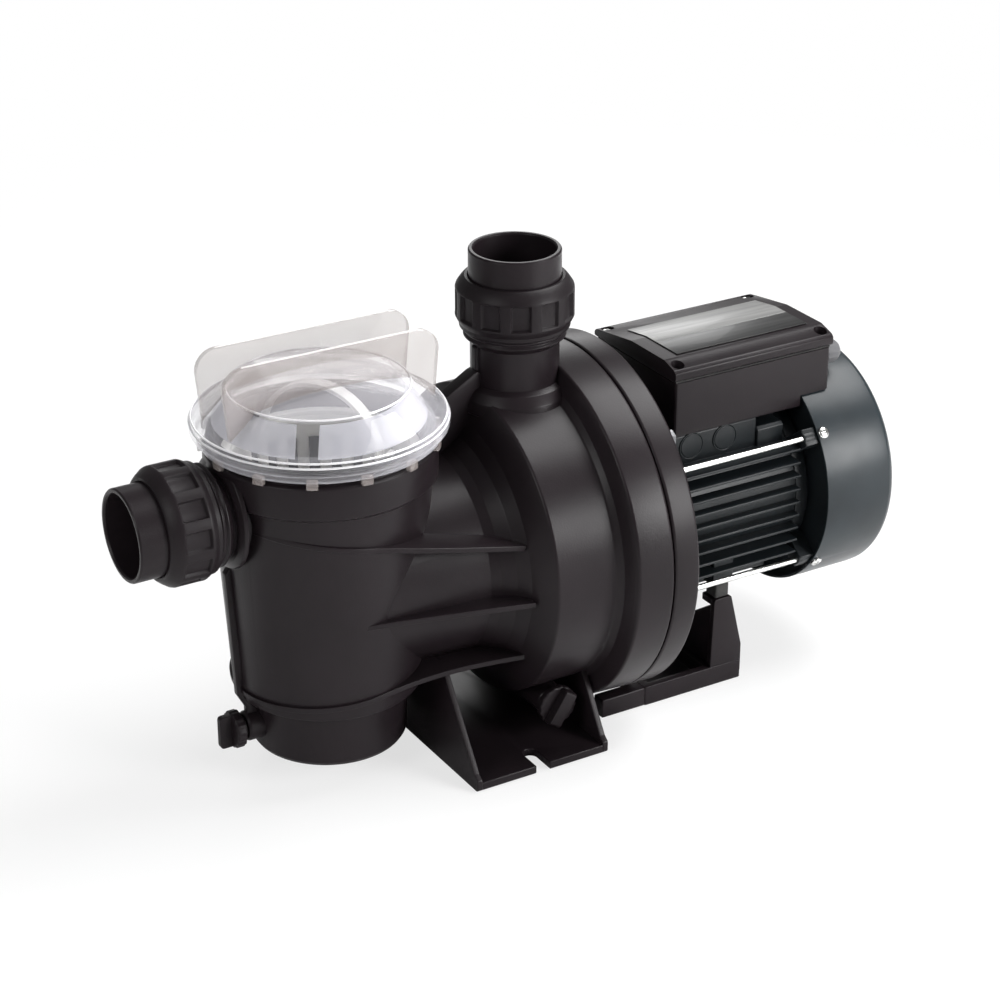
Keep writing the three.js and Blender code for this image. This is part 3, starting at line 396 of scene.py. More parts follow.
def moulded(name, colour, roughness, grain=900.0, depth=0.05):
    """Injection-moulded plastic: cloudy tone, a fine spark grain and faint flow ripples."""
    made = Finish(name, Specular_IOR_Level=0.16)
    made.tones(made.noise(14, 4), shade(colour, 0.86), shade(colour, 1.16))
    made.gloss(made.noise(40, 5), roughness - 0.06, roughness + 0.07)
    fine = made.relief(made.noise(grain, 2), depth)
    made.relief(made.noise(30, 2), 0.12, 0.5, below=fine)
    return made.material


def cast_paint(name, colour, roughness, lumps):
    """Paint over cast or pressed metal: an orange-peel skin over low lumps."""
    made = Finish(name, Coat_Weight=0.06, Coat_Roughness=0.3, Specular_IOR_Level=0.25)
    made.tones(made.noise(22, 5), shade(colour, 0.82), shade(colour, 1.2))
    made.gloss(made.noise(60, 4), roughness - 0.05, roughness + 0.08)
    skin = made.relief(made.noise(700, 2), 0.03)
    made.relief(made.noise(lumps, 3), 0.12, 0.6, below=skin)
    return made.material


def clear_plastic(name, dark, pale, face, edge):
    """Clear polycarbonate: as solid as face says seen face on, and as edge says seen edge on."""
    made = Finish(name, Specular_IOR_Level=0.9, Coat_Weight=0.6)
    made.tones(made.noise(9, 3), dark, pale)
    made.gloss(made.noise(50, 3), 0.04, 0.1)
    facing = made.node("ShaderNodeLayerWeight", {"Blend": 0.42}).outputs["Facing"]
    wanted = {"Value": facing, "From Min": 0.05, "From Max": 0.95, "To Min": face, "To Max": edge}
    see = made.node("ShaderNodeMapRange", wanted)
    made.tree.links.new(see.outputs[0], made.shader.inputs["Alpha"])
    made.relief(made.noise(35, 2), 0.08, 0.5)
    return made.material


def polished_steel():
    made = Finish("polished_steel", Metallic=1.0)
    made.tones(made.noise(60, 4, (0.1, 1, 1)), (0.58, 0.58, 0.57), (0.82, 0.82, 0.80))
    made.gloss(made.noise(400, 3, (0.05, 1, 1)), 0.14, 0.3)
    made.relief(made.noise(900, 2, (0.04, 1, 1)), 0.01)
    return made.material


def rubber():
    made = Finish("black_rubber", Specular_IOR_Level=0.3)
    made.tones(made.noise(60, 4), (0.016, 0.016, 0.016), (0.032, 0.031, 0.03))
    made.gloss(made.noise(200, 3), 0.62, 0.8)
    made.relief(made.noise(1200, 2), 0.04)
    return made.material


def winding_wire():
    """Varnished copper: fine turns side by side."""
    made = Finish("winding_wire", Metallic=0.9)
    made.tones(made.noise(80, 4), (0.35, 0.14, 0.05), (0.62, 0.28, 0.11))
    made.gloss(made.noise(90, 3), 0.28, 0.42)
    wave = made.node("ShaderNodeTexWave", {"Vector": made.place, "Scale": 300.0, "Distortion": 1.5})
    made.relief(wave.outputs["Fac"], 0.3)
    return made.material


def core_steel():
    """Stacked steel sheets: a line every half millimetre along the shaft."""
    made = Finish("laminated_steel", Metallic=0.9)
    made.tones(made.noise(50, 4), (0.20, 0.20, 0.21), (0.38, 0.38, 0.39))
    made.gloss(made.noise(70, 3), 0.35, 0.55)
    wave = made.node("ShaderNodeTexWave", {"Vector": made.place, "Scale": 600.0})
    made.relief(wave.outputs["Fac"], 0.1)
    return made.material


def seal_ceramic():
    made = Finish("seal_ceramic", Coat_Weight=0.4)
    made.tones(made.noise(40, 3), (0.74, 0.70, 0.62), (0.84, 0.81, 0.74))
    made.gloss(made.noise(120, 3), 0.1, 0.22)
    made.relief(made.noise(900, 2), 0.005)
    return made.material


def plate_metal(name, dark, light):
    """A printed metal plate: brushed along its length, with a satin lacquer."""
    made = Finish(name, Metallic=0.25, Coat_Weight=0.08, Specular_IOR_Level=0.3)
    made.tones(made.noise(300, 4, (0.05, 1, 1)), dark, light)
    made.gloss(made.noise(200, 3, (0.1, 1, 1)), 0.28, 0.42)
    made.relief(made.noise(900, 2, (0.05, 1, 1)), 0.01)
    return made.material


FINISHES = {}


def finish(name):
    """The named finish, made once from the colours in the scene's settings."""
    colours = bpy.context.scene.pump_colours
    makers = {
        "black": lambda: moulded("black_moulding", tuple(colours.plastic), 0.34),
        "nut": lambda: moulded("nut_moulding", shade(colours.plastic, 0.9), 0.44, 700.0),
        "grey": lambda: moulded("grey_moulding", (0.10, 0.10, 0.105), 0.5),
        "white": lambda: moulded("white_moulding", tuple(colours.basket), 0.45),
        "clear": lambda: clear_plastic(
            "clear_dome", (0.66, 0.65, 0.70), (0.80, 0.79, 0.84), 0.05, 0.55
        ),
        "wing": lambda: clear_plastic(
            "clear_wing", (0.28, 0.24, 0.225), (0.40, 0.35, 0.335), 0.24, 0.8
        ),
        "haze": lambda: clear_plastic(
            "clear_skirt", (0.64, 0.64, 0.70), (0.78, 0.78, 0.84), 0.42, 0.72
        ),
        # A whiter, more solid clear finish for the thin rings that paint highlight lines on the lid.
        "highlight_line": lambda: clear_plastic(
            "clear_highlight_line", (0.80, 0.79, 0.82), (0.95, 0.94, 0.96), 0.6, 0.9
        ),
        "frame": lambda: cast_paint("frame_paint", tuple(colours.frame), 0.42, 160.0),
        "cover": lambda: cast_paint("cover_paint", tuple(colours.cover), 0.34, 25.0),
        "steel": polished_steel,
        "rubber": rubber,
        "copper": winding_wire,
        "core": core_steel,
        "ceramic": seal_ceramic,
        "plate": lambda: plate_metal("plate_face", (0.17, 0.17, 0.168), (0.25, 0.25, 0.245)),
        "band": lambda: plate_metal("plate_band", (0.012, 0.012, 0.012), (0.03, 0.03, 0.03)),
    }
    if name not in FINISHES:
        FINISHES[name] = makers[name]()
    return FINISHES[name]


# ------------------------------------------------------------------ settings


class PumpSizes(bpy.types.PropertyGroup):
    """How finely the pump is modelled."""

    facets: IntProperty(
        name="Facets", description="Facets round a turned piece", default=144, min=48
    )
    edge: FloatProperty(
        name="Edge radius", description="Rounding of a moulded edge in millimetres", default=0.8
    )


class PumpColours(bpy.types.PropertyGroup):
    """The colours a user would change."""

    plastic: FloatVectorProperty(
        name="Plastic", description="Moulded wet end and boxes", subtype="COLOR",
        default=(0.0110, 0.0080, 0.0095),
    )
    basket: FloatVectorProperty(
        name="Basket", description="Strainer basket and its handle", subtype="COLOR",
        default=(0.84, 0.83, 0.80),
    )
    frame: FloatVectorProperty(
        name="Motor frame", description="Paint on the finned frame and shields", subtype="COLOR",
        default=(0.0065, 0.0085, 0.0100),
    )
    cover: FloatVectorProperty(
        name="Fan cover", description="Paint on the fan cover", subtype="COLOR",
        default=(0.0130, 0.0180, 0.0215),
    )


class StageSettings(bpy.types.PropertyGroup):
    """Where the camera stands and how strong the light is."""

    azimuth: FloatProperty(
        name="Azimuth", description="Camera turn round the pump", subtype="ANGLE",
        default=math.radians(-30.8),
    )
    elevation: FloatProperty(
        name="Elevation", description="Camera height above level", subtype="ANGLE",
        default=math.radians(25.69),
    )
    distance: FloatProperty(
        name="Distance", description="Camera to target", subtype="DISTANCE", default=1.7574
    )
    target: FloatProperty(
        name="Target height", description="Height the camera looks at", subtype="DISTANCE",
        default=0.1516,
    )
    lens: FloatProperty(name="Lens", description="Focal length in millimetres", default=95.76)
    key: FloatProperty(
        name="Key light", description="Main lamp in watts", subtype="POWER", default=46
    )
    sky: FloatProperty(name="Sky", description="Strength of the light all round", default=0.26)


# ------------------------------------------------------------------ wet end


def pot_radius(z):
    """How far the pot's tapered wall stands from its axis at a height."""
    t = (z - POT_STEP) / (POT_SHOULDER - POT_STEP)
    return POT_LOW_R + (POT_TOP_R - POT_LOW_R) * t


def pot_hollow():
    """The room in the pot, to cut out of what joins it."""
    profile = [(0, 22)] + POT_ROOM + [(66, COLLAR_RIM + 5), (0, COLLAR_RIM + 5)]
    return lathe(profile, 96).at(POT_X)


def pot_wall():
    outside = [
        (0, POT_FLOOR), (SUMP_R - 2, POT_FLOOR), (SUMP_R, POT_FLOOR + 3),
        (SUMP_R + 1, POT_STEP - 3), (POT_LOW_R, POT_STEP),
        (POT_TOP_R, POT_SHOULDER), (COLLAR_R, POT_SHOULDER + 3),
        (COLLAR_R, COLLAR_TOP), (THREAD_R - 1.2, COLLAR_TOP + 1), (THREAD_R, COLLAR_TOP + 2.4),
        (THREAD_R - 1.2, COLLAR_TOP + 4), (THREAD_R, COLLAR_TOP + 5.6), (THREAD_R, COLLAR_RIM),
    ]
    inside = [(66, COLLAR_RIM)] + POT_ROOM[::-1] + [(0, 22)]
    return turned_soft(outside + inside, 1.2).at(POT_X)


def volute_wall():
    outside = [
        (EYE_R, POT_X), (NECK_ROOT, POT_X), (NECK_R, NECK_END), (NECK_R + 3, NECK_END + 6),
        (NECK_R + 9, NECK_END + 14), (DRUM1_R - 18, DRUM1_START - 9),
        (DRUM1_R - 7, DRUM1_START - 4), (DRUM1_R, DRUM1_START), (DRUM1_R, DRUM1_END),
        (DRUM1_R + 4, DRUM1_END + 3.5),
        (DRUM1_R + 11, DRUM2_START - 2), (DRUM2_R, DRUM2_START), (DRUM2_R + 1, SEAM_X - 0.3),
    ]
    inside = [(109, SEAM_X - 0.3)] + VOLUTE_ROOM[::-1] + [(60, -61), (EYE_R, -61)]
    return lathe_x(softened(outside + inside, 2.4, steps=5)).at(z=SHAFT_Z)


def side_rib(z, slope, ring_r, tip, sag):
    """A thin plate that falls to the rear: half round the pot, then a wing to a tip each side."""
    ring = arc(0, 0, ring_r, 90, 270, 72)
    start = Vector(ring[-1])
    wing = []
    for k in range(1, 13):
        here = start.lerp(tip, k / 12)
        wing.append((here.x, here.y + sag * math.sin(math.pi * k / 12)))
    mirror = [(x, -y) for x, y in reversed(wing)]
    plate = slab(ring + wing + mirror, -RIB_HALF, RIB_HALF)
    return plate.turned(math.degrees(math.atan(slope)), "Y").at(POT_X, 0, z)


def middle_rib():
    """The level rib from the pot to the drum, a little below the shaft."""
    z = SHAFT_Z - 6.5
    reach = pot_radius(z)
    near = [
        (POT_X - 8, -reach + 1), (POT_X + 16, -reach - 4), (POT_X + 48, -reach - 12),
        (NECK_END + 20, -92),
    ]
    return slab(near + [(x, -y) for x, y in reversed(near)], z - RIB_HALF, z + RIB_HALF)


def volute_hollow():
    """The room in the volute, to cut out of what joins it."""
    profile = [(0, -60), (60, -60)] + VOLUTE_ROOM + [(109, SEAM_X + 1), (0, SEAM_X + 1)]
    return lathe_x(profile, 96).at(z=SHAFT_Z)


def spigot(low):
    """A pipe stub whose thread shows below its nut."""
    thread = []
    for k in range(6):
        h = -7 + k * 3.6
        thread += [(SPIGOT_R - 1.3, h), (SPIGOT_R, h + 1.1), (SPIGOT_R, h + 2.0)]
    outside = [(29, low), (29, -10)] + thread + [(SPIGOT_R - 1.3, SPIGOT_SEAT)]
    return lathe(softened(outside + [(SPIGOT_BORE, SPIGOT_SEAT), (SPIGOT_BORE, low)], 0.5))


def foot_wall(top, shoulder, x0, x1):
    """An upright wall of the foot that narrows to its shoulders at the top."""
    side = FOOT_Y
    outline = [
        (-side, 0), (-side, 8), (-side + 4, 11), (-shoulder, top), (shoulder, top), (side - 4, 11),
        (side, 8), (side, 0),
    ]
    return slab_x(softened(outline, 2), x0, x1)


class PUMP_OT_body(bpy.types.Operator):
    """Strainer pot, volute, ribs, spigots and front foot"""

    bl_idname = "pump.body"
    bl_label = "Pump body"

    def execute(self, context):
        black, sizes = finish("black"), context.scene.pump_sizes
        body = dict(material=black, body="pump", slot="black_plastic")
        suction_hole = rod_x(SPIGOT_BORE, SUCTION_X - 30, POT_X).at(z=SUCTION_Z)
        eye = rod_x(EYE_R, POT_X, NECK_END).at(z=SHAFT_Z)
        drain_hole = rod_x(DRAIN_BORE, POT_DRAIN_X - 1, POT_X, 32).at(z=POT_DRAIN_Z)
        discharge_hole = rod(SPIGOT_BORE, SHAFT_Z + 60, DISCHARGE_Z + 20).at(DISCHARGE_X)
        make("pot_wall", pot_wall(), cuts=[suction_hole, eye, drain_hole],
             replaces=["pump_body"], **body)
        make("volute_wall", volute_wall(), cuts=[pot_hollow(), discharge_hole], **body)
        upper_ring = pot_radius(178) + 1.6
        ribs = {
            "upper": side_rib(SHAFT_Z + 49, 0.19, upper_ring, Vector((103, -82)), -1.5),
            "lower": side_rib(SHAFT_Z - 60, -0.07, POT_LOW_R + 2.2, Vector((105, -75)), 7),
            "middle": middle_rib(),
        }
        hollows = [pot_hollow(), volute_hollow()]
        for place, shape in ribs.items():
            make(f"{place}_rib", shape, edge=sizes.edge, cuts=hollows, **body)
        self.spigots(body)
        self.webs(body, sizes.edge)
        self.foot(body, sizes.edge)
        self.bosses(body)
        return {"FINISHED"}

    def spigots(self, body):
        suction = spigot(SUCTION_X - POT_X).turned(-90, "Y").at(SUCTION_X, 0, SUCTION_Z)
        make("suction_spigot", suction, cuts=[pot_hollow()], **body)
        discharge = spigot(SHAFT_Z + DRUM1_R - 8 - DISCHARGE_Z)
        make("discharge_spigot", discharge.at(DISCHARGE_X, 0, DISCHARGE_Z), **body)
        bore = SPIGOT_BORE + 0.1
        base = [(bore, 222), (39, 222), (37, 231), (33, 237), (29, 239), (bore, 239)]
        make("discharge_base", turned_soft(base, 2).at(DISCHARGE_X), **body)
        root_ring = turned_soft([(bore, 0), (37, 0), (36, 3), (32, 5), (bore, 5)], 1)
        ring = root_ring.turned(-90, "Y").at(POT_X - POT_TOP_R + 2, 0, SUCTION_Z)
        make("suction_base", ring, cuts=[pot_hollow()], **body)

    def webs(self, body, edge):
        left, right = DISCHARGE_X - PIPE_OUTER + 2, DISCHARGE_X + PIPE_OUTER - 2
        pot, rim = POT_X + COLLAR_R - 4, POT_X + LID_R
        bridge = [
            (pot, 190), (pot, 221), (rim - 4, 226), (rim + 2, 234), (left, 252), (left + 3, 200),
        ]
        post = [(left - 3, 226), (left - 3, DISCHARGE_Z - 10), (left + 3, 267), (left + 3, 226)]
        gusset = [(right, 215), (right, 256), (46, 238), (DRUM2_START + 8, 215)]
        fin = [
            (POT_X - 52, 40), (POT_X - 60, 40), (POT_X - 60, 51), (POT_X - 66, 62),
            (POT_X - 70.5, 150), (POT_X - 64.5, 158), (POT_X - 58, 158),
        ]
        make("spigot_bridge", slab_y(softened(bridge, 4), -5, 5), edge=edge, **body)
        make("spigot_post", slab_y(post, -3, 3), edge=edge, **body)
        make("spigot_gusset", slab_y(gusset, -2, 2), edge=edge, **body)
        make("pot_fin", slab_y(softened(fin, 2), -2.5, 2.5), edge=edge, cuts=[pot_hollow()], **body)

    def foot(self, body, edge):
        middle = (FOOT_FRONT + FOOT_BACK) / 2
        plate = block(FOOT_FRONT + 0.6, FOOT_BACK - 0.6, -FOOT_Y + 0.3, FOOT_Y - 0.3, 0.3, 6)
        half, slots = FOOT_SLOT_HALF, []
        for side in (-1, 1):
            near, far = side * FOOT_SLOT_NEAR, side * FOOT_SLOT_FAR
            mouth = [(middle - half, near), (middle + half, near), (middle + half, far)]
            slots.append(slab(mouth + [(middle - half, far)], -1, 7))
            slots.append(rod(half, -1, 7, 32).at(middle, near))
        make("foot_plate", plate, edge=edge, cuts=slots, **body)
        make("foot_front_wall", foot_wall(75, 48, FOOT_FRONT, FOOT_FRONT + 4), edge=edge, **body)
        make("foot_back_wall", foot_wall(59, 62, FOOT_BACK - 4, FOOT_BACK), edge=edge, **body)

    def bosses(self, body):
        bore = DRAIN_BORE
        pot = turned_soft([(bore, 40), (10, 40), (10, 60), (9, 62), (bore, 62)], 1, 64)
        make("pot_drain_boss", pot.turned(-90, "Y").at(POT_X, 0, POT_DRAIN_Z),
             cuts=[pot_hollow()], **body)
        volute = turned_soft([(bore, 20), (12, 20), (10.5, 61), (9.5, 63), (bore, 63)], 1, 64)
        make("volute_drain_boss",
             volute.turned(90, "X").at(VOLUTE_DRAIN_X, 0, VOLUTE_DRAIN_Z), **body)


class PUMP_OT_seal_plate(bpy.types.Operator):
    """Motor-side half of the casing, with its bolts, seal and the parts on the shaft"""

    bl_idname = "pump.seal_plate"
    bl_label = "Seal plate"

    def execute(self, context):
        profile = [
            (15, SEAM_X - 8), (25, SEAM_X - 8), (29, SEAM_X + 2), (104.7, SEAM_X + 2),
            (104.7, SEAM_X - 6), (108.7, SEAM_X - 6), (108.7, SEAM_X + 0.2),
            (FLANGE_R - 0.9, SEAM_X + 0.2), (FLANGE_R - 0.4, SEAM_X + 1.6),
            (FLANGE_R, FLANGE_END), (106.5, FLANGE_END),
            (104.5, SEAM_X + 7), (67, SEAM_X + 7), (67, FLANGE_END), (15, FLANGE_END),
        ]
        shape = lathe_x(softened(profile, 1.8)).at(z=SHAFT_Z)
        holes = []
        for k in range(4):
            bolt = middle_of(f"casing_bolt_{k + 1}")
            holes.append(rod_x(3.4, SEAM_X - 1, FLANGE_END + 1, 24).at(0, bolt.y, bolt.z))
        make("casing_half", shape, finish("black"), "pump", "black_plastic", ["seal_plate"],
             cuts=holes)
        for k in range(4):
            self.bolt(k + 1)
        dress(finish("rubber"), "casing_o_ring")
        dress(finish("grey"), "diffuser", "impeller")
        dress(finish("core"), "seal_rotating_head")
        dress(finish("ceramic"), "seal_stationary_seat")
        return {"FINISHED"}

    def bolt(self, number):
        place = middle_of(f"casing_bolt_{number}")
        seat, top = FLANGE_END + 0.3, FLANGE_END + 4
        shank = rod_x(2.9, SEAM_X + 3, seat, 24)
        hexagon = [(0, seat), (5.4, seat), (5.4, FLANGE_END + 3.4), (4.8, top), (0, top)]
        bolt = shank + turned_soft_x(hexagon, 0.4, 6)
        # The bolts take the dull laminated-steel finish, not bright steel: painted shade that keeps
        # their tips from catching light.
        make(f"flange_bolt_{number}", bolt.at(0, place.y, place.z), finish("core"),
             "pump", "bright_steel", [f"casing_bolt_{number}"])


def grip_nut(height):
    """A union nut: rings of radius, height and whether the sunk panels reach them."""
    bore, inner, lip = SPIGOT_R + 0.4, PIPE_OUTER + 0.5, SPIGOT_SEAT + 6.6
    rings = [
        (bore, 0, 0), (NUT_R - 3, 0, 0), (NUT_R - 2.5, 0.6, 0), (NUT_R - 2.5, 3, 0),
        (NUT_R - 1, 5.5, 0), (NUT_R, 7.5, 0), (NUT_R, 8.3, 0), (NUT_R, 9.3, 1),
        (NUT_R, height - 9.3, 1), (NUT_R, height - 8.3, 0), (NUT_R - 0.6, height - 6.5, 0),
        (NUT_R - 3, height - 3, 0), (NUT_R - 4.5, height - 1.2, 0), (NUT_R - 6, height, 0),
        (inner, height, 0), (inner, lip, 0), (bore, lip, 0),
    ]
    pad, gap = 8.6, 1.3
    turns = []
    for k in range(NUT_PANELS):
        middle = 5 + 360 / NUT_PANELS * k
        for step in (-15, -pad - gap, -pad, -pad / 2, 0, pad / 2, pad, pad + gap):
            turns.append((middle + step, 1 if abs(step) <= pad else 0))
    corners = []
    for radius, z, sunk in rings:
        for turn, inside in turns:
            r = radius - 2.2 * sunk * inside
            a = math.radians(turn)
            corners.append((r * math.cos(a), r * math.sin(a), z))
    return Shape(corners, skin(len(turns), len(rings)))


def union_tail():
    """The tail: a collar under the nut, a faint step where the pipe socket starts, a soft rim."""
    face, end = SPIGOT_SEAT + 0.3, TAIL_END
    profile = [
        (PIPE_BORE, face), (27.4, face), (27.4, face + 2.4), (30.6, face + 2.4), (30.6, face),
        (32.8, face), (32.8, face + 6), (PIPE_OUTER, face + 6), (PIPE_OUTER, end - 1),
        (PIPE_OUTER - 0.7, end), (PIPE_SOCKET + 0.8, end), (PIPE_SOCKET, end - 1.2),
        (PIPE_SOCKET, face + 14), (PIPE_BORE, face + 12),
    ]
    return lathe(softened(profile, 0.4))


class PUMP_OT_unions(bpy.types.Operator):
    """Both pipe unions: ribbed nut, tail and seal"""

    bl_idname = "pump.unions"
    bl_label = "Pipe unions"

    def execute(self, context):
        places = {
            "suction": Matrix.Translation((SUCTION_X, 0, SUCTION_Z)) @ TO_SUCTION,
            "discharge": Matrix.Translation((DISCHARGE_X, 0, DISCHARGE_Z)),
        }
        for side, place in places.items():
            nut = grip_nut(NUT_LENGTH).placed(place)
            make(f"{side}_union_nut", nut, finish("nut"), f"{side}_nut", "black_plastic",
                 [f"{side}_nut"], edge=0.35, crease=30)
            tail = union_tail().placed(place)
            make(f"{side}_union_tail", tail, finish("black"), f"{side}_union", "black_plastic",
                 [f"{side}_tail"])
            seal = o_ring(29, SPIGOT_SEAT + 1.45, 1).placed(place)
            make(f"{side}_union_seal", seal, finish("rubber"), f"{side}_union", "rubber",
                 [f"{side}_o_ring"])
        return {"FINISHED"}


# ------------------------------------------------------------------ strainer


def lid_shell():
    """The lid's skirt, sloping ring and low dome, as one wall."""
    outside = [
        (72.7, LID_LOW), (LID_R - 4.4, LID_LOW), (LID_R - 4, LID_LOW + 5),
        (LID_R - 0.4, LID_LOW + 6), (LID_R, LID_LOW + 8),
        (LID_R, LID_RIM_TOP - 3), (LID_R - 2, LID_RIM_TOP - 0.5),
        (LID_R - 7, LID_RIM_TOP + 1), (DOME_R + 2, DOME_Z - 3), (DOME_R, DOME_Z),
        (DOME_R - 2, DOME_Z + 0.8), (DOME_R * 0.6, CROWN_Z - 2), (0, CROWN_Z),
    ]
    inside = [
        (0, CROWN_Z - 3), (DOME_R * 0.6, CROWN_Z - 5), (DOME_R - 3, DOME_Z - 3),
        (LID_R - 13, LID_RIM_TOP - 3), (72.7, COLLAR_RIM + 4),
    ]
    return turned_soft(outside + inside, 1.2)


def lid_wing(side):
    """One upright grip: long, thin, with big round top corners and a level top."""
    half, base, top = WING_LENGTH / 2, LID_RIM_TOP + 1.5, LID_TOP
    outline = [(-half + 3, base)]
    outline += arc(-half + 14, top - 14, 14, 180, 90, 10)
    outline += arc(half - 14, top - 14, 14, 90, 0, 10)
    outline += [(half - 3, base)]
    y = side * WING_Y
    return slab_y(outline, y - WING_THICKNESS / 2, y + WING_THICKNESS / 2)


class PUMP_OT_lid(bpy.types.Operator):
    """Clear strainer lid with two wings and grip lugs, and its seal"""

    bl_idname = "pump.lid"
    bl_label = "Strainer lid"

    def execute(self, context):
        clear = dict(material=finish("clear"), body="lid", slot="clear_plastic")
        make("lid_dome", lid_shell().at(POT_X), replaces=["strainer_lid"], **clear)
        solid_dome = lathe([
            (0, 225), (LID_R - 1, 225), (LID_R - 1, LID_RIM_TOP - 3),
            (LID_R - 7, LID_RIM_TOP + 0.9), (DOME_R + 2, DOME_Z - 3.1), (DOME_R, DOME_Z - 0.1),
            (DOME_R * 0.6, CROWN_Z - 2.1), (0, CROWN_Z - 0.1),
        ], 96)
        grip = dict(clear, material=finish("wing"))
        for side, name in ((-1, "near"), (1, "far")):
            wing = lid_wing(side).at(POT_X)
            make(f"lid_wing_{name}", wing, edge=1.2, cuts=[solid_dome.at(POT_X)], **grip)
        lugs = []
        for k in range(LID_LUGS):
            lug = block(LID_R - 8, LID_R - 4.1, -3.5, 3.5, LID_LOW - 4, LID_LOW + 2)
            lugs.append(lug.turned(360 / LID_LUGS * (k + 0.3)))
        make("lid_lugs", joined(lugs).at(POT_X), edge=0.6, **grip)
        self.skirt(clear)
        ring = o_ring((THREAD_R + 66) / 2, COLLAR_RIM + 2, 1.7).at(POT_X)
        make("lid_seal_ring", ring, finish("rubber"), "lid_seal", "rubber", ["lid_o_ring"])
        return {"FINISHED"}

    def skirt(self, clear):
        """The frosted band inside the sloping skirt, with one gap in it, and thin whiter rings along
        the lid's edges that paint highlight lines.
        """
        top, foot = (DOME_R - 4, DOME_Z - 4.2), (LID_R - 14, LID_RIM_TOP - 4)
        band = lathe([foot, top, (top[0] - 0.8, top[1] - 0.5), (foot[0] - 0.8, foot[1] - 0.5)], 144)
        gap = block(DOME_R - 14, LID_R, -7, 7, foot[1] - 3, top[1] + 3).turned(236).at(POT_X)
        make("lid_skirt", band.at(POT_X), cuts=[gap], **dict(clear, material=finish("haze")))
        # Thin rings in the whiter clear finish at the dome's foot and along the rim: painted
        # highlight lines.
        places = [
            (DOME_R - 0.4, DOME_Z + 0.2), (LID_R - 1.6, LID_RIM_TOP - 1.2),
            (LID_R - 0.4, LID_LOW + 12),
        ]
        highlight_lines = [lathe(arc(r, z, 0.7, 0, 315, 8), 144) for r, z in places]
        make("lid_highlight_lines", joined(highlight_lines).at(POT_X), **dict(clear, material=finish("highlight_line")))


def basket_wall():
    """The basket's side as a fine grid, open at three rows of long slots and at the inlet."""
    count, rows, sheet = 96, 40, Shape()
    slot_rows = [(86, 120), (128, 162), (170, 204)]
    rise = BASKET_RIM - 3 - BASKET_LOW
    for j in range(rows + 1):
        z = BASKET_LOW + rise * j / rows
        r = BASKET_LOW_R + (BASKET_TOP_R - BASKET_LOW_R) * j / rows
        for i in range(count):
            a = 2 * math.pi * i / count
            sheet.corners.append(Vector((r * math.cos(a), r * math.sin(a), z)))
    for j in range(rows):
        z = BASKET_LOW + rise * (j + 0.5) / rows
        open_row = any(low < z < high for low, high in slot_rows)
        under, over = j * count, (j + 1) * count
        for i in range(count):
            a = 2 * math.pi * (i + 0.5) / count
            x, y = BASKET_TOP_R * math.cos(a), BASKET_TOP_R * math.sin(a)
            inlet = x < 0 and math.hypot(y, z - SUCTION_Z) < PIPE_BORE + 2
            if (open_row and i % 4 in (1, 2)) or inlet:
                continue
            k = (i + 1) % count
            sheet.faces.append([under + i, under + k, over + k, over + i])
    return sheet


class PUMP_OT_basket(bpy.types.Operator):
    """Strainer basket with its slotted wall, and the strap handle pinned across it"""

    bl_idname = "pump.basket"
    bl_label = "Strainer basket"

    def execute(self, context):
        white = dict(material=finish("white"), body="basket", slot="white_plastic")
        wall = make("basket_wall", basket_wall().at(POT_X), replaces=["strainer_basket"], **white)
        thick = wall.modifiers.new("thickness", "SOLIDIFY")
        thick.thickness, thick.offset = 1.6 * MM, -1
        settle(wall)
        floor = [(0, BASKET_LOW), (BASKET_LOW_R, BASKET_LOW), (BASKET_LOW_R, BASKET_LOW + 3),
                 (BASKET_LOW_R - 2, BASKET_LOW + 1.8), (0, BASKET_LOW + 1.8)]
        make("basket_floor", turned_soft(floor, 0.5).at(POT_X), **white)
        top, low = BASKET_RIM, BASKET_RIM - 2.7
        rim = [(BASKET_TOP_R - 1.6, low - 2), (BASKET_TOP_R, low - 2), (BASKET_TOP_R + 0.6, low),
               (BASKET_TOP_R + 5, low), (BASKET_TOP_R + 5, top), (BASKET_TOP_R - 1.6, top)]
        notch = block(50, 66, -7, 7, low - 4, top + 1).turned(239).at(POT_X)
        make("basket_rim", turned_soft(rim, 0.7).at(POT_X), cuts=[notch], **white)
        ears = []
        for turn in (0, 180):
            ear = block(-5, 5, HANDLE_R + 5.5, HANDLE_R + 8.5, top - 6, top + 6)
            bar = block(-5, 5, HANDLE_R + 5.5, BASKET_TOP_R - 1, top - 6, top - 3)
            ears += [ear.turned(HANDLE_TURN + turn), bar.turned(HANDLE_TURN + turn)]
        make("basket_ears", joined(ears).at(POT_X), edge=0.5, **white)
        self.handle()
        return {"FINISHED"}

    def handle(self):
        """A flat strap bent over in a half circle, raised a little along both edges."""
        centre, half = BASKET_RIM + 1, 4.5
        section = [
            (-half, 0), (-half, 1.2), (-half + 1, 1.2), (-half + 1.6, 0.7), (half - 1.6, 0.7),
            (half - 1, 1.2), (half, 1.2), (half, 0), (half, -1.2), (-half, -1.2),
        ]
        end = centre - 4.5
        path = [(HANDLE_R, end)] + arc(0, centre, HANDLE_R, 0, 180, 40) + [(-HANDLE_R, end)]
        corners, n = [], len(section)
        for y, z in path:
            out = Vector((0, y, max(0.0, z - centre))).normalized()
            for x, lift in section:
                corners.append(Vector((x, y, z)) + out * lift)
        faces = skin(n, len(path), closed=False)
        faces += [list(range(n)), list(range((len(path) - 1) * n, len(path) * n))]
        pins = rod(1.6, -47.2, -41, 24) + rod(1.6, 41, 47.2, 24)
        strap = Shape(corners, faces) + pins.turned(90, "X").at(z=centre)
        make("handle_strap", strap.turned(HANDLE_TURN).at(POT_X), finish("white"), "handle",
             "white_plastic", ["basket_handle"])


# ------------------------------------------------------------------ drain plugs


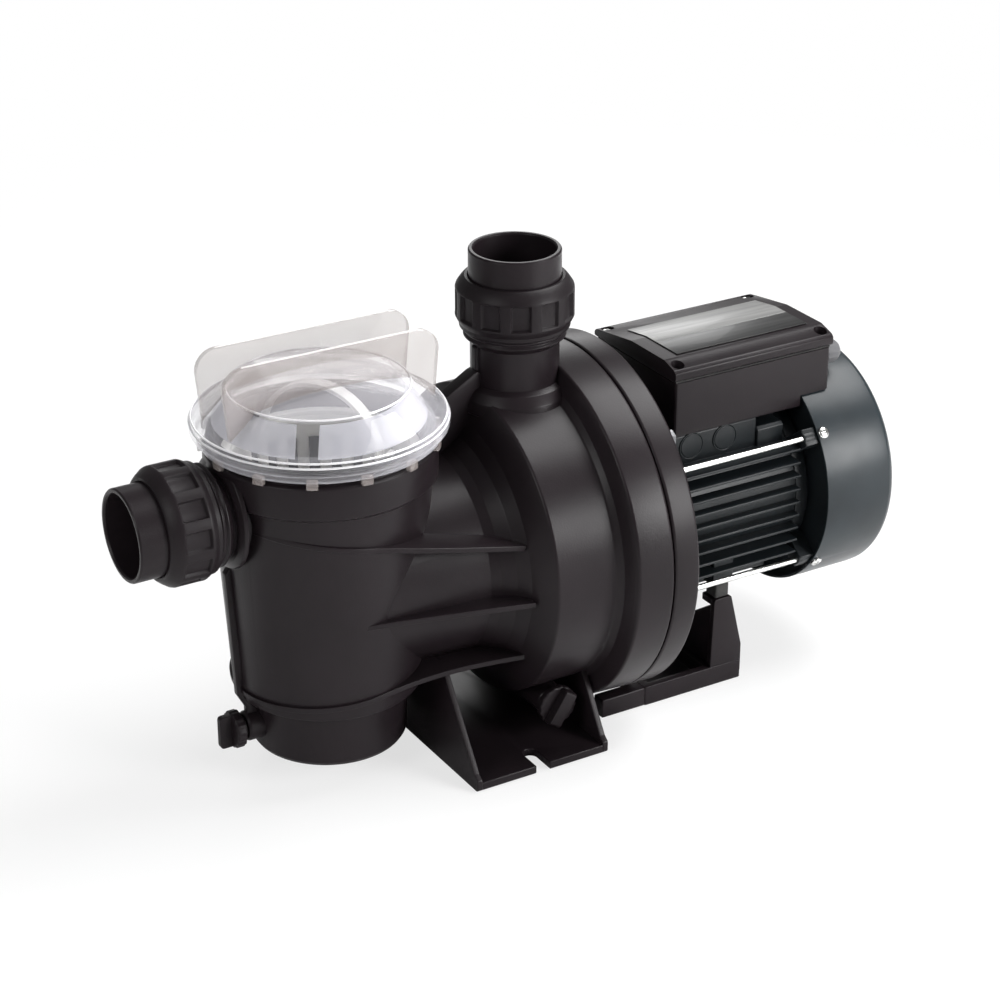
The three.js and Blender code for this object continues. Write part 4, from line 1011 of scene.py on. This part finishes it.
def plug_shape(head_r, head_length, count, wing_half, wing_turn):
    """A knurled plug: shank, a head with round flutes and a raised wing across it."""
    seat = 2.2
    shank = rod(5, -14, seat + 1, 32)
    n, rings = count * 6, []
    levels = [(0.0, seat), (0.9, seat), (1.0, seat + 0.8), (1.0, seat + head_length * 0.4),
              (0.93, seat + head_length * 0.45), (0.0, seat + head_length * 0.45)]
    corners, faces = [], []
    for scale, z in levels:
        if scale == 0:
            rings.append([len(corners)])
            corners.append((0, 0, z))
            continue
        rings.append([len(corners) + i for i in range(n)])
        for i in range(n):
            a = 2 * math.pi * i / n
            r = head_r * scale - 0.55 * (1 + math.cos(count * a)) / 2
            corners.append((r * math.cos(a), r * math.sin(a), z))
    for a, b in zip(rings, rings[1:]):
        for i in range(n):
            j = (i + 1) % n
            if len(a) == 1:
                faces.append([a[0], b[i], b[j]])
            elif len(b) == 1:
                faces.append([a[i], a[j], b[0]])
            else:
                faces.append([a[i], a[j], b[j], b[i]])
    reach, top = head_r - 1.2, seat + head_length
    outline = [(-reach, seat + 2), (reach, seat + 2), (reach, top), (-reach, top)]
    wing = slab_y(softened(outline, 2.5), -wing_half, wing_half).turned(wing_turn)
    return shank + Shape(corners, faces) + wing


class PUMP_OT_drains(bpy.types.Operator):
    """The pot's and the volute's drain plugs with their seals"""

    bl_idname = "pump.drains"
    bl_label = "Drain plugs"

    def execute(self, context):
        pot = Matrix.Translation((POT_DRAIN_X, 0, POT_DRAIN_Z)) @ TO_SUCTION
        volute = Matrix.Translation((VOLUTE_DRAIN_X, VOLUTE_DRAIN_Y, VOLUTE_DRAIN_Z)) @ TO_NEAR
        plugs = {
            "pot_drain": (plug_shape(12.5, 15, 16, 2.4, 0), pot),
            "volute_drain": (plug_shape(14, 12, 16, 4.6, 57), volute),
        }
        for name, (knob, place) in plugs.items():
            make(f"{name}_knob", knob.placed(place), finish("nut"), name, "black_plastic",
                 [f"{name}_plug"], edge=0.4)
            seal = o_ring(7.1, 1.1, 0.8, 64).placed(place)
            make(f"{name}_ring", seal, finish("rubber"), f"{name}_seal", "rubber",
                 [f"{name}_o_ring"])
        return {"FINISHED"}


# ------------------------------------------------------------------ motor


def rod_places():
    """The tie rods' (y, z) places about the shaft."""
    return [(y * ROD_Y, z * ROD_Z) for y, z in ((-1, -1), (-1, 1), (1, 1), (1, -1))]


def rod_turns():
    """The turns about X that bring a piece from the top round to each tie rod."""
    return [math.degrees(math.atan2(z, y)) - 90 for y, z in rod_places()]


def deck_outline(half, low, top, drop):
    """A block's end, with its two upper corners cut off."""
    return [(-half, low), (-half, top - drop), (-half + 2, top), (half - 2, top),
            (half, top - drop), (half, low)]


def shield_lugs(low, high, radius):
    """Arms out to the tie rods, round at their ends."""
    arms = []
    for y, z in rod_places():
        outward = math.copysign(1, y)
        tip = arc(y, z, radius, -90, 90, 12) if outward > 0 else arc(y, z, radius, 90, 270, 12)
        root = [(outward * 38, z + radius), (outward * 38, z - radius)]
        outline = tip + (root if outward > 0 else root[::-1])
        arms.append(slab_x(outline, low, high))
    return joined(arms)


class PUMP_OT_motor(bpy.types.Operator):
    """Finned motor frame, its two end shields and the tie rods"""

    bl_idname = "pump.motor"
    bl_label = "Motor frame and shields"

    def execute(self, context):
        paint = dict(material=finish("frame"), body="pump", slot="frame_paint")
        barrel = [(FRAME_BORE, FRAME_FRONT), (FRAME_R, FRAME_FRONT), (FRAME_R, FRAME_REAR),
                  (FRAME_BORE, FRAME_REAR)]
        make("frame_barrel", turned_soft_x(barrel, 0.6).at(z=SHAFT_Z),
             replaces=["motor_frame"], **paint)
        rods = [rod_x(2.6, FRAME_FRONT - 1, FRAME_REAR + 1, 24).at(0, y, z + SHAFT_Z)
                for y, z in rod_places()]
        bore = rod_x(FRAME_BORE, FRAME_FRONT - 1, FRAME_REAR + 1, 96).at(z=SHAFT_Z)
        cuts = [bore] + rods
        for k in range(FIN_COUNT):
            self.fin(k, cuts, paint)
        front, rear = FRAME_FRONT + 0.4, FRAME_REAR - 0.4
        low_fins = [block(front, rear, y - 1.5, y + 1.5, SHAFT_Z - 64, SHAFT_Z - 52)
                    for y in (-28, -14, 0, 14, 28)]
        make("frame_low_fins", joined(low_fins), edge=0.8, cuts=[bore], **paint)
        deck_top = BOX_LOW.z - 0.3
        deck = slab_x(deck_outline(46, SHAFT_Z + 36, deck_top, 1.5), FRAME_FRONT, DECK_END)
        make("frame_deck", deck, edge=0.8, cuts=cuts, **paint)
        shoulder = deck_outline(48, SHAFT_Z + 38, deck_top - 8, 2)
        make("frame_shoulder", slab_x(shoulder, DECK_END, FRAME_REAR - 4), edge=0.8, cuts=cuts,
             **paint)
        for side, name in ((-1, "right"), (1, "left")):
            pad = block(134, 150, *across(side, 40, 58), 77.3, SHAFT_Z - 30)
            make(f"frame_pad_{name}", pad, edge=1.0, cuts=cuts, **paint)
        self.knockouts(paint)
        self.shields(paint)
        self.tie_rods()
        return {"FINISHED"}

    def fin(self, k, cuts, paint):
        """One level fin, thinner at its edge, that reaches less the further it is from the middle."""
        z = (k - FIN_COUNT // 2) * FIN_PITCH
        reach = 67 - 0.0016 * z * z
        outline = [
            (-reach, z - 0.9), (-reach, z + 0.9), (-50, z + 1.5), (50, z + 1.5),
            (reach, z + 0.9), (reach, z - 0.9), (50, z - 1.5), (-50, z - 1.5),
        ]
        shape = slab_x(outline, FRAME_FRONT + 0.3, FRAME_REAR - 0.3).at(z=SHAFT_Z)
        make(f"frame_fin_{k + 1}", shape, edge=0.6, cuts=cuts, **paint)

    def knockouts(self, paint):
        """Round blanked cable entries on the near side of the deck, each with a faint ring."""
        for k, x in enumerate((120, 147)):
            face = [(0, 46.7), (8.0, 46.7), (8.3, 46.3), (8.8, 46.3), (9.1, 46.7), (9.5, 46.7),
                    (9.5, 45), (0, 45)]
            shape = turned_soft(face, 0.3, 64).turned(90, "X").at(x, 0, SHAFT_Z + 52)
            make(f"knockout_{k + 1}", shape, **paint)

    def shields(self, paint):
        front, rear = box_of("front_end_shield"), box_of("rear_end_shield")
        x0, x1 = front[0].x, front[1].x
        disc = [(12, x0), (FRAME_R, x0), (FRAME_R, x1), (26, x1 - 4), (24, x1), (20.3, x1),
                (20.3, x0 + 2), (12, x0 + 2)]
        disc_shape = turned_soft_x(disc, 0.8).at(z=SHAFT_Z)
        make("front_shield", disc_shape, replaces=["front_end_shield"], **paint)
        holes = [rod_x(2.4, x0, x1 + 1, 24).at(0, y, z + SHAFT_Z) for y, z in rod_places()]
        lugs = shield_lugs(x0 + 4, x1 - 0.3, 5.5).at(z=SHAFT_Z)
        make("front_shield_lugs", lugs, edge=0.8, cuts=holes, **paint)
        x0, x1 = rear[0].x, rear[0].x + 10
        disc = [(12, x1 + 5), (12, x1 + 3), (20.3, x1 + 3), (20.3, x0 + 2), (FRAME_BORE, x0 + 2),
                (FRAME_BORE, x0), (FRAME_R, x0), (FRAME_R, x1), (25, x1), (25, x1 + 5)]
        disc_shape = turned_soft_x(disc, 0.8).at(z=SHAFT_Z)
        make("rear_shield", disc_shape, replaces=["rear_end_shield"], **paint)
        arms = []
        for (y, z), turn in zip(rod_places(), rod_turns()):
            arms.append(block(x0 + 0.3, 219, -6, 6, 50, COVER_R - 2.4).turned(turn, "X"))
            arms.append(rod_x(5.5, x0 + 0.5, x1 - 0.3, 32).at(0, y * 0.97, z * 0.97))
        make("rear_shield_arms", joined(arms).at(z=SHAFT_Z), edge=0.8, **paint)

    def tie_rods(self):
        for k in range(4):
            low, high = box_of(f"tie_rod_{k + 1}")
            centre = (low + high) / 2
            profile = [(0, low.x), (3.3, low.x), (3.5, low.x + 0.5), (3.5, low.x + 3),
                       (2, low.x + 3), (2, high.x), (0, high.x)]
            shape = turned_soft_x(profile, 0.3, 32).at(0, centre.y, centre.z)
            make(f"through_bolt_{k + 1}", shape, finish("steel"), "pump", "bright_steel",
                 [f"tie_rod_{k + 1}"])


class PUMP_OT_motor_inside(bpy.types.Operator):
    """Finishes of the shaft, rotor, stator, windings, bearings and fan"""

    bl_idname = "pump.motor_inside"
    bl_label = "Motor inside"

    def execute(self, context):
        dress(finish("steel"), "motor_shaft", "front_bearing", "rear_bearing")
        dress(finish("core"), "rotor_core", "stator_core")
        dress(finish("copper"), "front_winding", "rear_winding")
        dress(finish("grey"), "cooling_fan")
        return {"FINISHED"}


def pan_head(radius, height, slot_length):
    """A pan-head screw about Z, and the two bars that cut the cross in its crown."""
    profile = [(0, -8), (1.9, -8), (1.9, 0.15), (radius, 0.15), (radius, height * 0.45)]
    profile += [(radius * math.cos(a), height * (0.45 + 0.55 * math.sin(a)))
                for a in (0.3, 0.6, 0.9, 1.2)]
    profile += [(0, height)]
    cross = []
    for turn in (0, 90):
        bar = block(-slot_length, slot_length, -0.45, 0.45, height * 0.4, height + 1)
        cross.append(bar.turned(turn))
    return lathe(profile, 40), cross


class PUMP_OT_fan_cover(bpy.types.Operator):
    """Drawn fan cover with a slotted end, and its four screws"""

    bl_idname = "pump.fan_cover"
    bl_label = "Fan cover"

    def execute(self, context):
        r, front, rear = COVER_R, COVER_FRONT, COVER_REAR
        paint = dict(material=finish("cover"), body="pump", slot="cover_paint")
        outer = [(r, front), (r, rear - 12)]
        outer += [(h, x) for x, h in arc(rear - 9, r - 9, 9, 75, 15, 6)]
        outer += [(r - 12, rear - 0.6), (r - 16, rear), (0, rear)]
        inner = [(0, rear - 1.5), (r - 16, rear - 1.5), (r - 11, rear - 3)]
        inner += [(r - 1.5, rear - 12), (r - 1.5, front)]
        shape = lathe_x(softened(outer + inner, 0.8, on_axis=True))
        cuts, slots = [], 16
        for k in range(slots):
            slot = [(22, -2.5), (r - 15, -2.5), (r - 15, 2.5), (22, 2.5)]
            tool = slab(softened(slot, 2.4), rear - 5, rear + 1).turned(90, "Y")
            cuts.append(tool.turned(360 / slots * k, "X"))
        for turn in rod_turns():
            cuts.append(rod(2.3, 60, r + 2, 24).at(x=COVER_SCREW_X).turned(turn, "X"))
        cover = make("fan_cover_shell", shape.at(z=SHAFT_Z), cuts=[joined(cuts).at(z=SHAFT_Z)],
                     replaces=["fan_cover"], **paint)
        cover.data.set_sharp_from_angle(angle=math.radians(32))
        # A ring in the darker frame paint just inside the cover's mouth, open at the bottom: painted
        # shade that darkens the view into the cover.
        shade_ring = [(52, front + 1.5), (r - 2.4, front + 1.5), (r - 2.4, front + 3), (52, front + 3)]
        lower_gap = block(front, front + 5, -60, 60, SHAFT_Z - r, SHAFT_Z - 44)
        make("cover_shade_ring", lathe_x(shade_ring, 96).at(z=SHAFT_Z), finish("frame"), "pump",
             "cover_paint", cuts=[lower_gap])
        for k, turn in enumerate(rod_turns()):
            head, cross = pan_head(4, 2.5, 2.4)
            round_shaft = Matrix.Rotation(math.radians(turn), 4, "X")
            place = Matrix.Translation((0, 0, SHAFT_Z)) @ round_shaft
            place = place @ Matrix.Translation((COVER_SCREW_X, 0, r))
            make(f"cover_screw_{k + 1}", head.placed(place), finish("steel"), "pump",
                 "bright_steel", [f"fan_cover_screw_{k + 1}"],
                 cuts=[c.placed(place) for c in cross])
        return {"FINISHED"}


# ------------------------------------------------------------------ terminal box


class PUMP_OT_terminal_box(bpy.types.Operator):
    """Terminal box, crowned lid with sunk screws, blank plate, gasket and gland"""

    bl_idname = "pump.terminal_box"
    bl_label = "Terminal box"

    def execute(self, context):
        self.base()
        self.lid()
        self.plate()
        self.gland()
        dress(finish("rubber"), "terminal_box_gasket")
        dress(finish("white"), "terminal_block")
        dress(finish("grey"), "run_capacitor")
        return {"FINISHED"}

    def base(self):
        low, high, wall = BOX_LOW, BOX_HIGH, BOX_WALL
        outline = [(low.x, low.y), (high.x, low.y), (high.x, high.y), (low.x, high.y)]
        body = slab(softened(outline, 3), low.z, high.z)
        y0, y1 = low.y + wall, high.y - wall
        room = block(low.x + wall, 204.5, y0, y1, low.z + wall, high.z + 1)
        rear_room = block(200, high.x - wall, y0, y1, 216.5, high.z + 1)
        cover_room = rod_x(COVER_R + 1.5, COVER_FRONT - 1.5, high.x + 2, 128).at(z=SHAFT_Z)
        gland = rod_x(6.3, high.x - 6, high.x + 1, 32).at(0, GLAND_Y, GLAND_Z)
        wire = rod(7, low.z - 1, low.z + 4, 32).at(148)
        make("box_base", body, finish("black"), "pump", "black_plastic", ["terminal_box"],
             edge=0.7, cuts=[room, rear_room, cover_room, gland, wire])
        posts = [rod(5, high.z - 14, high.z, 32).at(x, y) for x, y in self.screws()]
        make("box_posts", joined(posts), finish("black"), "pump", "black_plastic", edge=0.4)

    def screws(self):
        """Where the lid's four screws stand, as (x, y)."""
        places = [middle_of(f"box_lid_screw_{k + 1}") for k in range(4)]
        return [(p.x, p.y) for p in places]

    def lid(self):
        low, high = box_of("terminal_box_lid")
        z0, edge, top = low.z, low.z + 5.9, high.z
        crown = [(low.y, z0), (low.y, edge), (low.y + 2, edge + 2), (-35, top), (4, top),
                 (high.y - 8, edge), (high.y - 2, edge - 1), (high.y, edge - 3), (high.y, z0)]
        shape = slab_x(softened(crown, 2.2, steps=4), low.x, high.x)
        cuts = [rod(4.6, z0 + 2.5, top + 2, 32).at(x, y) for x, y in self.screws()]
        room = block(low.x + 12, high.x - 12, low.y + 4, high.y - 4, z0 - 1, edge - 3.5)
        make("box_cover", shape, finish("black"), "box_lid", "black_plastic", ["terminal_box_lid"],
             edge=1.0, cuts=cuts + [room])
        for k, (x, y) in enumerate(self.screws()):
            head, cross = pan_head(3.9, 2.3, 2.3)
            z = z0 + 2.5
            make(f"cover_corner_screw_{k + 1}", head.at(x, y, z), finish("steel"), "box_lid",
                 "bright_steel", [f"box_lid_screw_{k + 1}"], cuts=[c.at(x, y, z) for c in cross])

    def plate(self):
        """The plate's dark band on the level, and its pale part bent over onto the slope."""
        low, high = box_of("rating_plate")
        split, bend, thick = low.y + 23.5, 4, 0.5
        level = high.z - thick
        pale = [(split, level), (bend, level), (high.y, low.z), (high.y, low.z + thick),
                (bend, high.z), (split, high.z)]
        dark = block(low.x, high.x, low.y, split - 0.1, level, high.z)
        make("plate_pale", slab_x(pale, low.x, high.x), finish("plate"), "box_lid", "plate_label",
             ["rating_plate"], edge=0.12)
        make("plate_dark", dark, finish("band"), "box_lid", "plate_label", edge=0.12)

    def gland(self):
        """The hexagonal seat in the box's end wall, and the fluted cap nut on it."""
        place = Matrix.Translation((BOX_HIGH.x, GLAND_Y, GLAND_Z)) @ TO_FAN
        rim = GLAND_R + 1
        flats = [(6, -6), (6, 0.3), (rim, 0.3), (rim, 4), (6, 4), (6, 12), (4, 12), (4, -6)]
        make("gland_seat", lathe(softened(flats, 0.4), 6).placed(place), finish("grey"), "pump",
             "grey_plastic", ["cable_gland_body"], edge=0.3)
        levels = [
            (6.4, 4.3), (8.3, 4.3), (8.5, 5), (8.3, 11.4), (7.2, 14.2), (5.6, 16), (4.6, 16.4),
            (4.1, 16.2), (4.1, 12.3), (6.4, 12.3),
        ]
        flutes, fluted = 12, (1, 2, 3)
        n, corners = flutes * 8, []
        for j, (r, h) in enumerate(levels):
            for i in range(n):
                a = 2 * math.pi * i / n
                dip = 0.35 * (1 + math.cos(flutes * a)) / 2 if j in fluted else 0
                corners.append(((r - dip) * math.cos(a), (r - dip) * math.sin(a), h))
        cap = Shape(corners, skin(n, len(levels)))
        make("gland_cap", cap.placed(place), finish("grey"), "gland_nut", "grey_plastic",
             ["cable_gland_nut"])


# ------------------------------------------------------------------ rear foot


class PUMP_OT_rear_foot(bpy.types.Operator):
    """Stand under the motor with its tray, posts, web and rubber pads"""

    bl_idname = "pump.rear_foot"
    bl_label = "Rear foot"

    def execute(self, context):
        black = dict(material=finish("black"), body="pump", slot="black_plastic", edge=1.0)
        base = softened([(80, -58), (160, -58), (160, 58), (80, 58)], 2)
        make("foot_tray", slab(base, 0, 14), cuts=[block(86, 132, -52, 52, 4, 15)],
             replaces=["rear_foot"], **black)
        rails = [block(46, 80.6, *across(side, 47, 57.8), 0.1, 13.8) for side in (-1, 1)]
        make("foot_rails", joined(rails), **black)
        post = softened([(134, 4), (136, 66), (150, 66), (159.7, 26), (159.7, 4)], 2)
        posts = [slab_y(post, *across(side, 53, 57.7)) for side in (-1, 1)]
        make("foot_posts", joined(posts), **black)
        web = [(-52, 4), (-56, 63), (-23.2, 40), (23.2, 40), (56, 63), (52, 4)]
        make("foot_web", slab_x(softened(web, 3), 136.4, 139.7), **black)
        tops = [block(136.2, 149.5, *across(side, 42, 57.4), 60, 65.7) for side in (-1, 1)]
        make("foot_tops", joined(tops), **black)
        for side in ("left", "right"):
            low, high = box_of(f"support_pad_{side}")
            pad = block(low.x, high.x, low.y, high.y, low.z, high.z)
            make(f"foot_pad_{side}", pad, finish("rubber"), "pump", "rubber",
                 [f"support_pad_{side}"], edge=1.5)
        return {"FINISHED"}


# ------------------------------------------------------------------ stage


def backdrop_colour(tree, plain, strength=1.0):
    """White light of one strength for the camera and through clear pieces, and plain elsewhere."""
    path = tree.nodes.new("ShaderNodeLightPath")
    kind = "ShaderNodeBackground" if plain.type == "BACKGROUND" else "ShaderNodeEmission"
    white = tree.nodes.new(kind)
    white.inputs["Strength"].default_value = strength
    white.inputs["Color"].default_value = (1, 1, 1, 1)
    either = tree.nodes.new("ShaderNodeMath")
    either.operation = "MAXIMUM"
    tree.links.new(path.outputs["Is Camera Ray"], either.inputs[0])
    tree.links.new(path.outputs["Is Transmission Ray"], either.inputs[1])
    mix = tree.nodes.new("ShaderNodeMixShader")
    tree.links.new(either.outputs[0], mix.inputs[0])
    tree.links.new(plain.outputs[0], mix.inputs[1])
    tree.links.new(white.outputs[0], mix.inputs[2])
    return mix


def far_off(tree):
    """0.7 under the pump, rising to 1 away from it, where the floor is the backdrop's own white."""
    place = tree.nodes.new("ShaderNodeTexCoord")
    length = tree.nodes.new("ShaderNodeVectorMath")
    length.operation = "LENGTH"
    tree.links.new(place.outputs["Object"], length.inputs[0])
    ramp = tree.nodes.new("ShaderNodeMapRange")
    for socket, value in (("From Min", 0.45), ("From Max", 1.3), ("To Min", 0.7), ("To Max", 1.0)):
        ramp.inputs[socket].default_value = value
    tree.links.new(length.outputs["Value"], ramp.inputs["Value"])
    return ramp.outputs[0]


class PUMP_OT_stage(bpy.types.Operator):
    """Pale floor, white surround, soft lamps and the camera"""

    bl_idname = "pump.stage"
    bl_label = "Stage"

    def execute(self, context):
        stage = context.scene.pump_stage
        context.scene.view_settings.view_transform = "Standard"
        self.floor()
        self.surround(stage.sky)
        self.lamps(stage.key)
        self.camera(context, stage)
        return {"FINISHED"}

    def floor(self):
        half, level = 6, -0.0005
        around = [(-half, -half), (half, -half), (half, half), (-half, half)]
        made = bpy.data.meshes.new("floor")
        made.from_pydata([(x, y, level) for x, y in around], [], [(0, 1, 2, 3)])
        floor = bpy.data.objects.new("floor", made)
        bpy.context.scene.collection.objects.link(floor)
        material = bpy.data.materials.new("floor_white")
        material.use_nodes = True
        tree = material.node_tree
        plain = tree.nodes["Principled BSDF"]
        plain.inputs["Base Color"].default_value = (0.9, 0.9, 0.9, 1)
        plain.inputs["Roughness"].default_value = 0.9
        lift = backdrop_colour(tree, plain)
        soft = tree.nodes.new("ShaderNodeMixShader")
        tree.links.new(far_off(tree), soft.inputs[0])
        tree.links.new(plain.outputs[0], soft.inputs[1])
        tree.links.new(lift.outputs[0], soft.inputs[2])
        tree.links.new(soft.outputs[0], tree.nodes["Material Output"].inputs[0])
        made.materials.append(material)

    def surround(self, strength):
        world = bpy.data.worlds.new("surround")
        bpy.context.scene.world = world
        world.use_nodes = True
        tree = world.node_tree
        plain = tree.nodes["Background"]
        plain.inputs["Color"].default_value = (1, 1, 1, 1)
        plain.inputs["Strength"].default_value = strength
        mix = backdrop_colour(tree, plain)
        tree.links.new(mix.outputs[0], tree.nodes["World Output"].inputs[0])

    def lamps(self, key):
        """A key on the near right, a top and a back light, and a weak one from the left."""
        places = [
            ("key", (1.15, -1.75, 0.75), (0.05, 0, 0.15), 0.85, key),
            ("top", (0.95, -0.1, 1.7), (0, 0, 0.15), 1.1, key * 0.9),
            ("back", (0.9, 1.7, 0.95), (0, 0, 0.2), 0.8, key * 0.16),
            ("side", (-1.9, -0.6, 1.2), (-0.1, 0, 0.15), 0.8, key * 0.3),
        ]
        for name, place, aim, size, power in places:
            lamp = bpy.data.lights.new(name, "AREA")
            lamp.energy, lamp.size = power, size
            holder = bpy.data.objects.new(name, lamp)
            holder.location = place
            ahead = Vector(aim) - Vector(place)
            holder.rotation_euler = ahead.to_track_quat("-Z", "Y").to_euler()
            bpy.context.scene.collection.objects.link(holder)

    def camera(self, context, stage):
        a, e = stage.azimuth, stage.elevation
        back = Vector((math.sin(a) * math.cos(e), -math.cos(a) * math.cos(e), math.sin(e)))
        data = bpy.data.cameras.new("camera")
        data.lens, data.sensor_width = stage.lens, 36
        camera = bpy.data.objects.new("camera", data)
        camera.location = Vector((0, 0, stage.target)) + back * stage.distance
        camera.rotation_euler = (-back).to_track_quat("-Z", "Y").to_euler()
        context.scene.collection.objects.link(camera)
        context.scene.camera = camera


class PUMP_PT_panel(bpy.types.Panel):
    """The pump's sizes, colours and steps"""

    bl_idname = "PUMP_PT_panel"
    bl_label = "Pool pump"
    bl_space_type = "VIEW_3D"
    bl_region_type = "UI"
    bl_category = "Pump"

    def draw(self, context):
        for settings in GROUPS:
            group = getattr(context.scene, settings)
            for name in group.bl_rna.properties.keys():
                if name not in ("rna_type", "name"):
                    self.layout.prop(group, name)
        for step in STEPS:
            self.layout.operator(step.bl_idname)


STEPS = (
    PUMP_OT_stage, PUMP_OT_body, PUMP_OT_seal_plate, PUMP_OT_unions, PUMP_OT_lid, PUMP_OT_basket,
    PUMP_OT_drains, PUMP_OT_motor, PUMP_OT_motor_inside, PUMP_OT_fan_cover, PUMP_OT_terminal_box,
    PUMP_OT_rear_foot,
)
GROUPS = {"pump_sizes": PumpSizes, "pump_colours": PumpColours, "pump_stage": StageSettings}


def register():
    for name, group in GROUPS.items():
        bpy.utils.register_class(group)
        setattr(bpy.types.Scene, name, PointerProperty(type=group))
    for step in STEPS:
        bpy.utils.register_class(step)
    bpy.utils.register_class(PUMP_PT_panel)


def unregister():
    bpy.utils.unregister_class(PUMP_PT_panel)
    for step in reversed(STEPS):
        bpy.utils.unregister_class(step)
    for name, group in GROUPS.items():
        delattr(bpy.types.Scene, name)
        bpy.utils.unregister_class(group)


def main():
    register()
    for step in STEPS:
        group, name = step.bl_idname.split(".")
        getattr(getattr(bpy.ops, group), name)()


if __name__ == "__main__":
    main()
